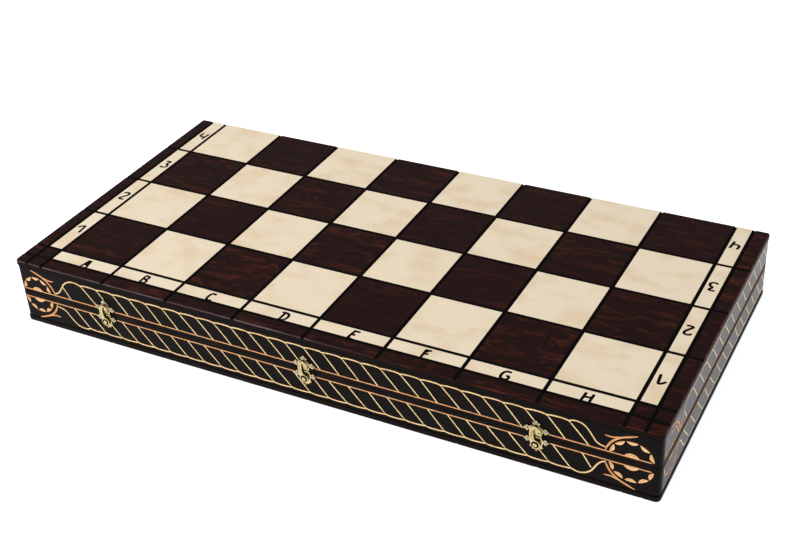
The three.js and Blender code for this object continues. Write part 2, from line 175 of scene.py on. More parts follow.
def dome(radius, height, below):
    """A round head's profile: radius cos a and height sin a over a quarter turn, on a straight side."""
    a = np.linspace(0, np.pi / 2, 6)
    cap = np.stack([radius * np.cos(a), height * np.sin(a)], 1)
    return np.concatenate([[(0, -below), (radius, -below)], cap])


def eased(points, times=2, closed=False):
    """A broken line with its corners cut: each round keeps the quarter points of every stretch."""
    line = np.asarray(points, float)
    for _ in range(times):
        after = np.roll(line, -1, 0) if closed else line[1:]
        before = line if closed else line[:-1]
        cut = np.stack([0.75 * before + 0.25 * after, 0.25 * before + 0.75 * after], 1).reshape(-1, 2)
        line = cut if closed else np.concatenate([line[:1], cut, line[-1:]])
    return line


# ---------------------------------------------------------------- carving


def nearest(path, points):
    """Each point's nearest place on a path: its share of the way along, and its distance (+ on the left)."""
    start, step = path[:-1], np.diff(path, axis=0)
    length = np.hypot(*step.T)
    away = points[:, None] - start
    share = np.clip((away * step).sum(-1) / np.maximum(length, 1e-9) ** 2, 0, 1)
    gap = away - share[..., None] * step
    distance = np.hypot(gap[..., 0], gap[..., 1])
    best = distance.argmin(1)
    rows = np.arange(len(points))
    run = np.concatenate([[0], np.cumsum(length)])
    along = (run[best] + share[rows, best] * length[best]) / run[-1]
    side = step[best, 0] * gap[rows, best, 1] - step[best, 1] * gap[rows, best, 0]
    return along, np.where(side < 0, -1, 1) * distance[rows, best]


class Cut:
    """A tool's cut along a path: it opens from offset low to offset high and is deepest at offset bed."""

    def __init__(self, path, low, bed, high, deep, tone):
        self.path = np.asarray(path, float)
        count = len(self.path)
        self.low, self.bed, self.high, self.deep = (
            np.broadcast_to(np.asarray(v, float), count) for v in (low, bed, high, deep)
        )
        self.tone = tone
        step = np.diff(self.path, axis=0)
        step /= np.maximum(np.hypot(*step.T), 1e-9)[:, None]
        mean = np.concatenate([step[:1], step[:-1] + step[1:], step[-1:]])
        mean /= np.maximum(np.hypot(*mean.T), 1e-9)[:, None]
        self.left = np.stack([-mean[:, 1], mean[:, 0]], 1)

    def lines(self):
        """The cut's two rims and its bed: the path moved left by each offset."""
        return [self.path + self.left * offset[:, None] for offset in (self.low, self.bed, self.high)]

    def sink(self, points):
        """Depth at any point: it falls straight from the bed to 0 at each rim, and goes negative outside."""
        along, offset = nearest(self.path, points)
        length = np.concatenate([[0], np.cumsum(np.hypot(*np.diff(self.path, axis=0).T))])
        low, bed, high, deep = (
            np.interp(along, length / length[-1], v) for v in (self.low, self.bed, self.high, self.deep)
        )
        up = (offset - low) / np.maximum(bed - low, 1e-3)
        down = (high - offset) / np.maximum(high - bed, 1e-3)
        return deep * np.minimum(up, down) - ((along <= 0) | (along >= 1)) * 1e-3


def vee(path, half, steep=1.0, tone=0.0, taper=0.0):
    """A V-shaped cut, steep times its half width deep, narrowing to a point over taper at both ends."""
    path = np.asarray(path, float)
    if taper:
        run = np.concatenate([[0], np.cumsum(np.hypot(*np.diff(path, axis=0).T))])
        near_ends = [(taper * s, run[-1] - taper * s) for s in (0.1, 0.3, 0.6, 1)]
        stops = np.unique(np.concatenate([run, *near_ends]))
        stops = stops[(stops >= 0) & (stops <= run[-1])]
        path = np.stack([np.interp(stops, run, path[:, k]) for k in (0, 1)], 1)
        from_end = np.clip(np.minimum(stops, run[-1] - stops) / taper, 0, 1)
        half = half * np.sqrt(from_end * (2 - from_end)) + 0.01
    return Cut(path, -half, 0, half, np.asarray(half) * steep, tone)


def moon(base, bulge, tone):
    """A gouge's half-moon: one rim is the base line and the other bulges to its left.

    Its width is bulge (1 - t t) ^ 0.8, with t from -1 to 1 along the base.
    """
    base = np.asarray(base, float)
    t = np.linspace(-1, 1, len(base))
    out = bulge * (1 - t * t) ** 0.8 + 0.01
    return Cut(base, 0, GOUGE_LEAN * out, out, GOUGE_STEEP * out, tone)


def inside(points, outline):
    """Whether each point is in a closed outline: a ray from it crosses that an odd number of times."""
    a, b = outline, np.roll(outline, -1, 0)
    x, y = points[:, :1], points[:, 1:]
    spans = (a[:, 1] > y) != (b[:, 1] > y)
    rise = np.where(a[:, 1] == b[:, 1], 1e-12, b[:, 1] - a[:, 1])
    crossing = a[:, 0] + (y - a[:, 1]) / rise * (b[:, 0] - a[:, 0])
    return (spans & (x < crossing)).sum(1) % 2 == 1


def run_of(line):
    """How far along a closed outline each corner is, from 0 to 1, with the first corner again at the end."""
    closed = np.concatenate([line, line[:1]])
    length = np.concatenate([[0], np.cumsum(np.hypot(*np.diff(closed, axis=0).T))])
    return length / length[-1]


def step_to(outline, plan, place, drop):
    """A ring for carved(): the outline's points go to the same share of another plan, sunk by drop."""
    closed, run = np.concatenate([plan, plan[:1]]), run_of(outline)

    def step(flat, sink, around):
        moved = np.stack([np.interp(around, run, closed[:, k]) for k in (0, 1)], 1)
        return place(moved, np.maximum(sink, drop)), np.maximum(sink - drop, 0)

    return step


def inset(outline, by):
    """A closed anticlockwise outline moved inwards by a distance along the mean of its sides' directions."""
    outline = np.asarray(outline, float)
    step = np.roll(outline, -1, 0) - outline
    step /= np.hypot(*step.T)[:, None]
    inward = np.stack([-step[:, 1], step[:, 0]], 1)
    before = np.roll(inward, 1, 0)
    share = np.maximum(1 + (inward * before).sum(1), 0.5)
    return outline + by * (inward + before) / share[:, None]


def carved(outline, cuts, place, rings, guides=(), fields=None, open_back=False):
    """A carved piece as a closed shell.

    The outline is filled with triangles whose edges follow the rims and beds of the cuts and the guides.
    Each point sinks by the deepest cut over it, and place(flat, sink) sets it in space. Each ring takes the
    outline's points, their sink and their place along the outline one step further round the piece, and the
    last ring is closed by one flat face unless the back stays open. fields(middles) marks the triangles.
    """
    outline = np.asarray(outline, float)
    lines = [line for cut in cuts for line in cut.lines()] + [np.asarray(g, float) for g in guides]
    starts = np.cumsum([len(outline)] + [len(line) for line in lines])
    edges = [[i, (i + 1) % len(outline)] for i in range(len(outline))]
    edges += [[i, i + 1] for at, line in zip(starts, lines) for i in range(at, at + len(line) - 1)]
    corners = np.concatenate([outline] + lines)
    flat, _, triangles, *_ = delaunay_2d_cdt(corners.tolist(), edges, [], 0, 1e-4, False)
    flat, triangles = np.array(flat, float), np.array(triangles)
    triangles = triangles[inside(flat[triangles].mean(1), outline)]
    kept, triangles = np.unique(triangles, return_inverse=True)
    flat, triangles = flat[kept], triangles.reshape(-1, 3)

    sink, tone = np.full(len(flat), -1e3), np.zeros(len(flat))
    for cut in cuts:
        here = cut.sink(flat)
        tone = np.where(here > sink, cut.tone, tone)
        sink = np.maximum(sink, here)
    sink = np.where(sink < FLUSH, 0, sink)

    around, offset = nearest(np.concatenate([outline, outline[:1]]), flat)
    rim = np.flatnonzero(np.abs(offset) < ON_LINE)
    rim = rim[np.argsort(around[rim])]

    points, marks = [place(flat, sink)], [sink]
    faces, last, count = [triangles], rim, len(flat)
    for ring in rings:
        step, mark = ring(flat[rim], sink[rim], around[rim])
        ids = np.arange(len(rim)) + count
        faces.append(np.stack([last, np.roll(last, -1), np.roll(ids, -1), ids], 1))
        points.append(step)
        marks.append(np.broadcast_to(mark, len(rim)))
        last, count = ids, count + len(rim)
    if not open_back:
        faces.append(last[None, :])
    tones = np.concatenate([tone] + [tone[rim]] * len(rings))
    face_marks = {}
    if fields:
        rest = sum(len(group) for group in faces[1:])
        face_marks = {
            name: np.concatenate([values, np.zeros(rest)])
            for name, values in fields(flat[triangles].mean(1)).items()
        }
    return Shell(np.concatenate(points), faces, {"cut": np.concatenate(marks), "tone": tones}, face_marks)


# ---------------------------------------------------------------- finishes


def paint(red, green, blue):
    """A colour given as it looks on a screen, 0 to 255, as the linear colour that a shader takes."""
    share = np.array([red, green, blue]) / 255
    linear = np.where(share <= 0.04045, share / 12.92, ((share + 0.055) / 1.055) ** 2.4)
    return (*linear.tolist(), 1.0)


class Flow:
    """A socket that Python arithmetic can build on: each operator adds one Math node."""

    def __init__(self, net, socket):
        self.net, self.socket = net, socket

    def math(self, operation, first, second):
        """Adds the Math node of one operation."""
        return self.net.node("ShaderNodeMath", {"operation": operation}, {0: first, 1: second})

    def __add__(self, other):
        return self.math("ADD", self, other)

    __radd__ = __add__

    def __sub__(self, other):
        return self.math("SUBTRACT", self, other)

    def __rsub__(self, other):
        return self.math("SUBTRACT", other, self)

    def __mul__(self, other):
        return self.math("MULTIPLY", self, other)

    __rmul__ = __mul__

    def rise(self, low, high):
        """0 below low, 1 above high and a smooth step between."""
        return self.net.node(
            "ShaderNodeMapRange",
            {"interpolation_type": "SMOOTHSTEP"},
            {"Value": self, "From Min": low, "From Max": high},
        )


class Net:
    """One finish: a material, and node(), which adds any node to it."""

    def __init__(self, name, **constants):
        self.material = bpy.data.materials.new(name)
        self.material.use_nodes = True
        self.tree = self.material.node_tree
        self.shader = self.tree.nodes["Principled BSDF"]
        for socket, value in constants.items():
            self.shader.inputs[socket.replace("_", " ")].default_value = value

    def node(self, kind, settings=None, inputs=None, output=0):
        """Adds a node: its settings first, then the values or links of its sockets."""
        made = self.tree.nodes.new(kind)
        for key, value in (settings or {}).items():
            setattr(made, key, value)
        for key, value in (inputs or {}).items():
            self.feed(made.inputs[key], value)
        return Flow(self, made.outputs[output])

    def feed(self, socket, value):
        """Links a Flow to a socket, or sets a constant on it."""
        if isinstance(value, Flow):
            self.tree.links.new(value.socket, socket)
        else:
            socket.default_value = value

    def looks(self, bump=None, rise=0.0, **inputs):
        """Feeds the shader's own sockets, and a height in millimetres through one Bump node."""
        for socket, value in inputs.items():
            self.feed(self.shader.inputs[socket.replace("_", " ")], value)
        if bump is not None:
            relief = {"Strength": 1.0, "Distance": rise * MM, "Height": bump}
            self.feed(self.shader.inputs["Normal"], self.node("ShaderNodeBump", {}, relief))
        return self.material

    def mix(self, factor, first, second):
        """The first colour where factor is 0 and the second where it is 1."""
        return self.node("ShaderNodeMix", {"data_type": "RGBA"}, {0: factor, 6: first, 7: second}, 2)

    def mark(self, name):
        """The value of one of the piece's marks."""
        return self.node("ShaderNodeAttribute", {"attribute_name": name}, output=2)

    def vector(self, operation, first, second):
        """Adds the Vector Math node of one operation."""
        return self.node("ShaderNodeVectorMath", {"operation": operation}, {0: first, 1: second})

    def place(self):
        """Object coordinates in millimetres."""
        here = self.node("ShaderNodeTexCoord", output=3)
        return self.vector("MULTIPLY", here, (1 / MM,) * 3)

    def noise(self, where, per_mm, detail, rough=0.55, shift=0.0):
        """Soft noise from 0 to 1 with its own number of lumps for each millimetre along x, y and z."""
        moved = self.vector("ADD", self.vector("MULTIPLY", where, per_mm), (shift,) * 3)
        return self.node(
            "ShaderNodeTexNoise",
            {"noise_dimensions": "3D"},
            {"Vector": moved, "Scale": 1.0, "Detail": detail, "Roughness": rough},
        )


RAW = paint(234, 178, 124)
RAW_DEEP = paint(188, 122, 74)
RAW_PAINTED_LIT = paint(255, 238, 184)
STAIN = paint(15, 10, 10)
STAIN_RED = paint(30, 16, 14)
STAIN_PORE = paint(14, 10, 10)
BURNT = paint(14, 11, 10)
CREAM = paint(240, 224, 198)
CREAM_TAN = paint(226, 196, 156)
CREAM_PORE = paint(206, 182, 146)
FIELD_DARK = paint(33, 16, 15)
FIELD_RED = paint(82, 36, 24)
FIELD_PORE = paint(30, 19, 17)
SIDE_DARK = paint(20, 12, 12)
WORN = paint(132, 58, 34)
PAINTED_EDGE_HIGHLIGHT = paint(112, 98, 104)
PAINTED_SHEEN = paint(36, 40, 54)
BRASS = paint(208, 192, 142)
BRASS_DULL = paint(150, 120, 62)
BRASS_TARNISH_AND_SHADE = paint(48, 32, 12)
STEEL = paint(176, 184, 204)
STEEL_DULL = paint(116, 124, 146)
STEEL_DARK = paint(40, 42, 50)
FELT_GREEN = paint(26, 62, 44)
FELT_LIGHT = paint(66, 112, 84)
FELT_NAP = paint(70, 118, 90)


def fibres(net, where, along, seed=0.0):
    """Wood fibres: thin streaks that run along one axis (0 for x, 1 for y, 2 for z)."""
    fine = [1.6, 1.6, 1.6]
    fine[along] = 0.035
    return net.noise(where, fine, detail=3.0, rough=0.6, shift=seed)


def figure(net, where, along, seed=0.0):
    """Wood figure: broad wavy bands along one axis, pushed about by a slower noise."""
    push = net.noise(where, (0.03, 0.03, 0.03), detail=2.0, shift=seed + 7)
    pushed = net.vector("ADD", where, net.vector("MULTIPLY", push, (0.0, 26.0, 26.0)))
    broad = [0.16, 0.16, 0.16]
    broad[along] = 0.022
    return net.noise(pushed, broad, detail=5.0, rough=0.62, shift=seed)


def field_wood():
    """Playing faces: pale and dark fields, scorched grooves, and a front edge with a painted grey highlight
    at the left and worn red patches at the right.
    """
    net = Net("playing_fields", Specular_IOR_Level=0.03)
    where = net.place()
    light, own = net.mark("light"), net.mark("own")
    cut, edge = net.mark("cut"), net.mark("edge")
    shifted = net.vector("ADD", where, net.node("ShaderNodeCombineXYZ", {}, {0: own * 400, 1: own * 90}))
    thread = fibres(net, where, 0)
    wave = figure(net, shifted, 0)
    cloud = net.noise(shifted, (0.035, 0.05, 0.05), detail=3.0, shift=3.0)

    pale = net.mix(cloud.rise(0.42, 0.72) * 0.55, CREAM, CREAM_TAN)
    pale = net.mix(thread.rise(0.5, 0.9) * 0.35, pale, CREAM_PORE)
    dark = net.mix(wave.rise(0.46, 0.74) * (0.25 + own * 0.75), FIELD_DARK, FIELD_RED)
    dark = net.mix(thread.rise(0.45, 0.8) * 0.5, dark, FIELD_PORE)
    wood = net.mix(light, dark, pale)
    worn_here = net.noise(where, (0.02, 0.3, 0.3), detail=5.0, rough=0.7)
    to_right = net.node("ShaderNodeSeparateXYZ", {}, {0: where}).rise(-40, 120)
    # Painted highlight and wear: along the upper board's front edge the colour runs from a painted grey
    # highlight at the left, in an even band and in patches, to worn red patches at the right.
    bare = edge.rise(0.3, 0.8) * ((1 - to_right) * 0.3 + worn_here.rise(0.44, 0.64) * 0.6)
    wood = net.mix(bare, wood, net.mix(to_right, PAINTED_EDGE_HIGHLIGHT, WORN))
    wood = net.mix(net.mark("rim"), wood, SIDE_DARK)
    scorched = net.mix(cut.rise(0.02, 0.1), wood, BURNT)
    return net.looks(
        Base_Color=scorched,
        Roughness=0.36 + thread * 0.14 + light * 0.16 + cut.rise(0.03, 0.2) * 0.2,
        bump=thread * 0.6 + wave * 0.4,
        rise=0.09,
    )


def carved_wood():
    """Walls: dark stained wood cut through to raw wood; tone tells lines, strands and petals apart. Painted
    light: tone paints the raw wood paler on the diagonal strands and darker on the straight lines, the
    deepest cuts get painted shade, and glossy walls get a painted bluish sheen.
    """
    net = Net("stained_and_carved_wood", Specular_IOR_Level=0.04, Coat_IOR=1.42, Coat_Roughness=0.3)
    where = net.place()
    cut, tone, edge = net.mark("cut"), net.mark("tone"), net.mark("edge")
    thread = fibres(net, where, 0)
    wave = figure(net, where, 0, seed=4.0)
    stain = net.mix(wave.rise(0.5, 0.78) * 0.5, STAIN, STAIN_RED)
    stain = net.mix(thread.rise(0.5, 0.85) * 0.4, stain, STAIN_PORE)
    worn_here = net.noise(where, (0.03, 0.5, 0.5), detail=4.0, rough=0.7)
    stain = net.mix(edge * worn_here.rise(0.5, 0.7) * 0.5, stain, WORN)
    gloss = net.mark("gloss")
    # Painted sheen: a bluish grey mixed into the stain where the walls are glossy stands in for the
    # lacquer's reflection.
    stain = net.mix(gloss * 0.6, stain, PAINTED_SHEEN)
    # Painted light: tone makes the raw wood palest on the diagonal strands, less pale on arches and petals,
    # and darkest on the straight lines, as each kind of cut is lit.
    raw = net.mix(tone.rise(0.2, 0.8), RAW, RAW_PAINTED_LIT)
    raw = net.mix(net.noise(where, (0.3, 0.3, 0.6), detail=3.0).rise(0.4, 0.75) * 0.45, raw, RAW_DEEP)
    raw = net.mix(thread.rise(0.4, 0.8) * 0.25, raw, RAW_DEEP)
    # Painted shade: the raw wood is darker towards the bed of the deeper cuts.
    raw = net.mix(cut.rise(0.55, 1.25) * 0.55, raw, RAW_DEEP)
    bare = cut.rise(0.02, 0.07)
    return net.looks(
        Base_Color=net.mix(bare, stain, raw),
        Roughness=0.4 + thread * 0.12 + bare * 0.25,
        Coat_Weight=gloss * (0.5 - bare * 0.5),
        bump=thread * 0.7 + wave * 0.3,
        rise=0.07,
    )


def brass():
    """Pale polished brass: bright on its faces, duller in faint clouds, and brown in its cuts and on its
    sides as tarnish and painted shade.
    """
    net = Net("pale_brass", Metallic=1.0, Specular_IOR_Level=0.5)
    where = net.place()
    cut = net.mark("cut")
    cloud = net.noise(where, (0.5,) * 3, detail=4.0)
    brushed = net.noise(where, (3.0, 0.4, 0.4), detail=2.0)
    colour = net.mix(cloud.rise(0.4, 0.7) * 0.7, BRASS, BRASS_DULL)
    # Brown in the cuts and on the plates' sides: tarnish, and painted shade where the hook and plates
    # overlap.
    colour = net.mix(cut.rise(0.04, 0.3), colour, BRASS_TARNISH_AND_SHADE)
    return net.looks(
        Base_Color=colour,
        Roughness=0.2 + cloud * 0.16 + cut.rise(0.05, 0.5) * 0.25,
        bump=brushed * 0.4 + cloud,
        rise=0.05,
    )


def steel():
    """Bluish steel of nails, pins and screws, darker in their slots as painted shade."""
    net = Net("blue_steel", Metallic=1.0)
    where = net.place()
    cut = net.mark("cut")
    speck = net.noise(where, (1.2,) * 3, detail=4.0)
    colour = net.mix(speck.rise(0.35, 0.75), STEEL, STEEL_DULL)
    # Painted shade: the slots are darkened.
    colour = net.mix(cut.rise(0.05, 0.4), colour, STEEL_DARK)
    return net.looks(Base_Color=colour, Roughness=0.22 + speck * 0.2, bump=speck, rise=0.02)


def felt():
    """Deep green felt: short matted hairs that lie in every direction over slow patches of lighter nap."""
    net = Net("green_felt", Roughness=0.95, Sheen_Weight=0.35, Sheen_Roughness=0.5, Specular_IOR_Level=0.1)
    where = net.place()
    hairs = net.noise(where, (2.4, 2.4, 2.4), detail=6.0, rough=0.7)
    combed = net.noise(where, (0.5, 3.4, 1.0), detail=4.0, rough=0.7, shift=9.0)
    nap = net.noise(where, (0.03, 0.03, 0.03), detail=3.0)
    colour = net.mix((hairs * 0.6 + combed * 0.4).rise(0.36, 0.66), FELT_GREEN, FELT_LIGHT)
    colour = net.mix(nap.rise(0.35, 0.7) * 0.35, colour, FELT_NAP)
    return net.looks(Base_Color=colour, bump=hairs + combed * 0.6, rise=0.35)


def turned_wood(name, base, vein, pore_and_shade, gloss):
    """Lacquered wood of the men: fibres along each man's length with fine pores, slow colour bands, and
    painted shade in the carved cuts.
    """
    net = Net(name, Specular_IOR_Level=0.4, Coat_Weight=0.25, Coat_Roughness=0.2)
    where = net.place()
    thread = fibres(net, where, 1, seed=2.0)
    wave = figure(net, where, 1, seed=11.0)
    cut, own = net.mark("cut"), net.mark("own")
    colour = net.mix(wave.rise(0.38, 0.62) * (0.5 + own * 0.4), base, vein)
    colour = net.mix(thread.rise(0.5, 0.8) * 0.6, colour, pore_and_shade)
    # Painted shade: the carved cuts are darkened towards the pore colour.
    colour = net.mix(cut.rise(0.1, 0.5) * 0.75, colour, pore_and_shade)
    return net.looks(
        Base_Color=colour,
        Roughness=gloss + thread * 0.15,
        bump=thread * 0.7 + wave * 0.3,
        rise=0.05,
    )


FINISHES = {
    "fields": field_wood(),
    "carved": carved_wood(),
    "brass": brass(),
    "steel": steel(),
    "felt": felt(),
    "pale": turned_wood(
        "pale_turned_wood", paint(226, 188, 130), paint(198, 148, 90), paint(158, 112, 66), gloss=0.3
    ),
    "dark": turned_wood(
        "dark_turned_wood", paint(74, 38, 26), paint(34, 17, 13), paint(20, 11, 9), gloss=0.26
    ),
}

# ---------------------------------------------------------------- the two boards

SQUARE = 67.5
FILES, RANKS = 8, 4
STRIP = 0.24 * SQUARE  # width of the strips that carry the signs
GROOVE = 1.75  # half the width of a groove
GROOVE_STEEP = 0.7
BEVEL = 1.7  # radius of the rounded upper edge
CORNER = 4.5  # radius of the upright corners at the front
HINGE_CORNER = 0.5
CORNER_STEPS = 9
ARRIS = 0.4  # the small chamfer under a board
LETTER_TALL = 10.4
LETTER_DOWN = 1.7  # of a letter's middle below the middle of its strip
LETTER_NUDGE = {"A": 2.5, "B": -1.5, "D": 4.5, "E": 2.5, "H": -1.5}  # to the right
DIGIT_TALL = 12.5
DIGIT_NUDGE = 1.5  # the most by which a digit is off its place
STROKE = 1.3  # half the width of a stroke
STRAIGHT = "AEFH7"  # signs whose strokes aren't rounded

# Each letter or figure is a list of strokes in a box 0.6 wide and 1 tall.
LETTERS = {
    "A": [[(0.0, 0), (0.2, 0.98), (0.42, 1), (0.58, 0)], [(0.1, 0.4), (0.52, 0.4)]],
    "B": [[(0.08, 0), (0.08, 1)], [(0, 1), (0.42, 1), (0.56, 0.8), (0.4, 0.55), (0.12, 0.54)],
          [(0.3, 0.54), (0.6, 0.4), (0.58, 0.1), (0.35, 0), (0, 0)]],
    "C": [[(0.58, 0.86), (0.4, 1), (0.12, 0.94), (0.02, 0.55), (0.06, 0.1), (0.34, 0), (0.6, 0.14)]],
    "D": [[(0.14, 0), (0.2, 1)], [(-0.1, 0.98), (0.4, 1), (0.68, 0.76), (0.66, 0.3), (0.42, 0), (-0.08, 0)]],
    "E": [[(0.7, 1), (0.06, 1)], [(0.22, 1), (0.12, 0.6), (0.04, 0.1), (0.14, 0), (0.54, 0)],
          [(0.12, 0.52), (0.5, 0.52)]],
    "F": [[(0.6, 1), (0.08, 1), (0.1, 0)], [(0.1, 0.54), (0.5, 0.54)]],
    "G": [[(0.64, 0.94), (0.4, 1), (0.1, 0.92), (-0.04, 0.5), (0.04, 0.08), (0.34, 0), (0.62, 0.1),
           (0.64, 0.46), (0.34, 0.48)]],
    "H": [[(-0.02, 0), (0.06, 1)], [(0.6, 0), (0.64, 1)], [(0.02, 0.46), (0.6, 0.54)]],
    "1": [[(-0.04, 0.62), (0.1, 0.82), (0.3, 0.98), (0.42, 0.94), (0.44, 0.6), (0.5, 0)]],
    "2": [[(0.04, 0.8), (0.14, 1), (0.5, 1), (0.54, 0.7), (0.3, 0.36), (0.04, 0.02), (0.6, 0.02)]],
    "3": [[(0.04, 1), (0.56, 1), (0.26, 0.58), (0.54, 0.5), (0.58, 0.12), (0.3, 0), (0.02, 0.12)]],
    "4": [[(0.12, 1), (0.0, 0.42), (0.5, 0.4)], [(0.62, 1), (0.54, 0.5), (0.5, 0)]],
    "5": [[(0.56, 1), (0.14, 1), (0.1, 0.56), (0.42, 0.62), (0.58, 0.3), (0.4, 0.02), (0.04, 0.06)]],
    "6": [[(0.5, 0.98), (0.14, 0.7), (0.02, 0.3), (0.16, 0), (0.52, 0.02), (0.56, 0.38), (0.3, 0.5),
           (0.06, 0.34)]],
    "7": [[(0.02, 0.98), (0.58, 0.98), (0.26, 0)]],
    "8": [[(0.3, 0.54), (0.06, 0.64), (0.08, 0.96), (0.5, 1), (0.54, 0.66), (0.3, 0.54), (0.02, 0.4),
           (0.04, 0.02), (0.56, 0), (0.58, 0.4), (0.3, 0.54)]],
}


def lettering(sign, middle, tall, turn=1):
    """The burnt strokes of one sign about its middle; turn -1 sets it upside down."""
    cuts = []
    for stroke in LETTERS[sign]:
        line = np.array(stroke) if sign in STRAIGHT else eased(stroke)
        line = (line - (0.3, 0.5)) * tall * turn + middle
        cuts.append(vee(line, STROKE, steep=0.8, taper=STROKE))
    return cuts


def board_plan(by):
    """A board's plan, inset by a distance: rounded front corners, almost square ones at the hinges."""
    low, high = BOARD_LOW, BOARD_HIGH
    a = np.linspace(0, np.pi / 2, CORNER_STEPS)
    parts = []
    for x, y, radius, start in (
        (low[0] + CORNER, low[1] + CORNER, CORNER - by, np.pi),
        (high[0] - CORNER, low[1] + CORNER, CORNER - by, 1.5 * np.pi),
        (high[0] - by - HINGE_CORNER, high[1] - HINGE_CORNER, HINGE_CORNER, 0.0),
        (low[0] + by + HINGE_CORNER, high[1] - HINGE_CORNER, HINGE_CORNER, 0.5 * np.pi),
    ):
        parts.append(np.stack([x + radius * np.cos(start + a), y + radius * np.sin(start + a)], 1))
    return np.concatenate(parts)


panel_low, panel_high = box("upper_panel")
first_corner = np.array([-FILES / 2 * SQUARE, panel_low[1] + (panel_high[0] - FILES / 2 * SQUARE)])
BOARD_LOW = panel_low[:2] - first_corner
BOARD_HIGH = panel_high[:2] - first_corner
THICK = panel_high[2] - panel_low[2]


def board_cuts(letters, digits):
    """Grooves on every file and rank line and outside the strips, and the signs burnt into the strips."""
    over = SQUARE  # the lines run on past the board's edges
    files = [i * SQUARE for i in range(FILES + 1)] + [-STRIP, FILES * SQUARE + STRIP]
    ranks = [j * SQUARE for j in range(RANKS)] + [-STRIP]
    cuts = [vee([(x, BOARD_LOW[1] - over), (x, BOARD_HIGH[1] + over)], GROOVE, GROOVE_STEEP) for x in files]
    cuts += [vee([(BOARD_LOW[0] - over, y), (BOARD_HIGH[0] + over, y)], GROOVE, GROOVE_STEEP) for y in ranks]
    for i, sign in enumerate(letters):
        x = (i + 0.5) * SQUARE + LETTER_NUDGE.get(sign, 0.0)
        cuts += lettering(sign, (x, -STRIP / 2 - LETTER_DOWN), LETTER_TALL)
    for j, sign in enumerate(digits):
        nudge = chance.uniform(-DIGIT_NUDGE, DIGIT_NUDGE)
        cuts += lettering(sign, (-STRIP / 2, (j + 0.52) * SQUARE + nudge), DIGIT_TALL)
        far_side = (FILES * SQUARE + STRIP / 2, (j + 0.5) * SQUARE - nudge)
        cuts += lettering(sign, far_side, DIGIT_TALL, turn=-1)
    return cuts


def field_marks(middles, tints):
    """Which triangles are pale, and the tint of the field each is in."""
    x, y = middles.T
    i, j = np.floor(x / SQUARE).astype(int), np.floor(y / SQUARE).astype(int)
    on_files, on_ranks = (x > 0) & (x < FILES * SQUARE), y > 0
    left = (x > -STRIP) & (x < 0) & on_ranks
    right = (x > FILES * SQUARE) & (x < FILES * SQUARE + STRIP) & on_ranks
    front = (y > -STRIP) & (y < 0) & on_files
    light = np.where(on_files & on_ranks, (i + j) % 2, left | right | front)
    return {"light": light.astype(float), "own": tints[i + 2, j + 2]}


def board(face, down, letters, digits):
    """A board: carved face, rounded bevel, side, a small lower chamfer and a flat underside."""
    sign = -1 if down else 1
    part = "lower" if down else "upper"
    tints = chance.uniform(0, 1, (FILES + 5, RANKS + 5))

    def place(flat, sink):
        x = flat[:, 0] + first_corner[0]
        return np.stack([sign * x, flat[:, 1] + first_corner[1], face - sign * sink], 1)

    outline = board_plan(BEVEL)

    def ring(inward, drop):
        return step_to(outline, board_plan(inward), place, drop)

    bend = np.linspace(0, np.pi / 2, CORNER_STEPS)[1:]
    rings = [ring(BEVEL * (1 - np.sin(a)), BEVEL * (1 - np.cos(a))) for a in bend]
    rings += [ring(0, THICK - ARRIS), ring(ARRIS, THICK)]
    guard = board_plan(BEVEL + ARRIS)
    shell = carved(
        outline,
        board_cuts(letters, digits),
        place,
        rings,
        guides=[np.concatenate([guard, guard[:1]])],
        fields=lambda middles: field_marks(middles, tints),
    )
    drop = sign * (face - shell.points[:, 2]) / BEVEL
    # The edge mark carries both wear and the painted highlight along the bevel.
    wear_and_highlight = np.interp(drop, [0, 0.3, 0.6, 1], [0.1, 1, 0.8, 0])  # most just under the edge
    shell.point_marks["edge"] = wear_and_highlight * (not down)
    shell.point_marks["rim"] = np.clip(drop - 0.5, 0, 0.5) * 2
    make(f"{part}_board", [shell], FINISHES["fields"], f"{part}_tray", [f"{part}_panel"])


board(panel_high[2], False, "ABCDEFGH", "1234")
board(box("lower_panel")[0][2], True, "HGFEDCBA", "8765")

# ---------------------------------------------------------------- carved walls

front_low, front_high = box("upper_front_wall")
HALF = front_high[0]
FRONT, BACK = front_low[1], box("upper_back_wall")[1][1]
WALL = front_high[1] - front_low[1]
SEAM = (front_low[2] + box("lower_front_wall")[1][2]) / 2
FLAT_HALF = HALF - CORNER  # half of the front's flat stretch
ARC = CORNER * np.pi / 2
FRONT_HALF = FLAT_HALF + ARC  # half of the front board's developed length
END_LENGTH = BACK - FRONT - CORNER
WALL_ARRIS = 0.45  # the small chamfer of a wall's long edges
GLOSS_OVER = 4  # past a corner, over which its end wall grows glossy

LINE_HALF = 0.55  # half the width of the straight line
STRAND_HALF = 0.52
LINE_UP = {1: 3.9, -1: 4.6}  # from the seam to the straight line, over and under it
ROPE_TALL = {1: 19.8, -1: 19.2}
STRAND_RUN = 15.7  # along the wall from a strand's top to its foot
STRAND_NUDGE = 1.2  # the most by which that varies
STRAND_PITCH = 17.7
ARCH = 0.95
JUNCTION = 0.94  # height at which strands meet, as a share of the rope's
ORNAMENT_IN = 23.1  # from a corner to the middle of its ornament
ROPE_FROM = 18.5  # from there to the rope's foot
LINE_IN = 5.8  # from a corner to the end of its straight line
PAST_END = 40  # how far the ropes of the end walls run on past the back
LINE_PAST = 9  # how far their straight lines do
PETAL_HALF = math.radians(16.5)  # half the angle of a petal
SPRIG = [(20.3, 0.4), (19.6, 3.5), (16.4, 9.8), (10.2, 15.6), (2, 19), (-4.0, 21.2)]
TWIG = [(21.4, 14.8), (15, 14.2), (8.4, 16.6)]
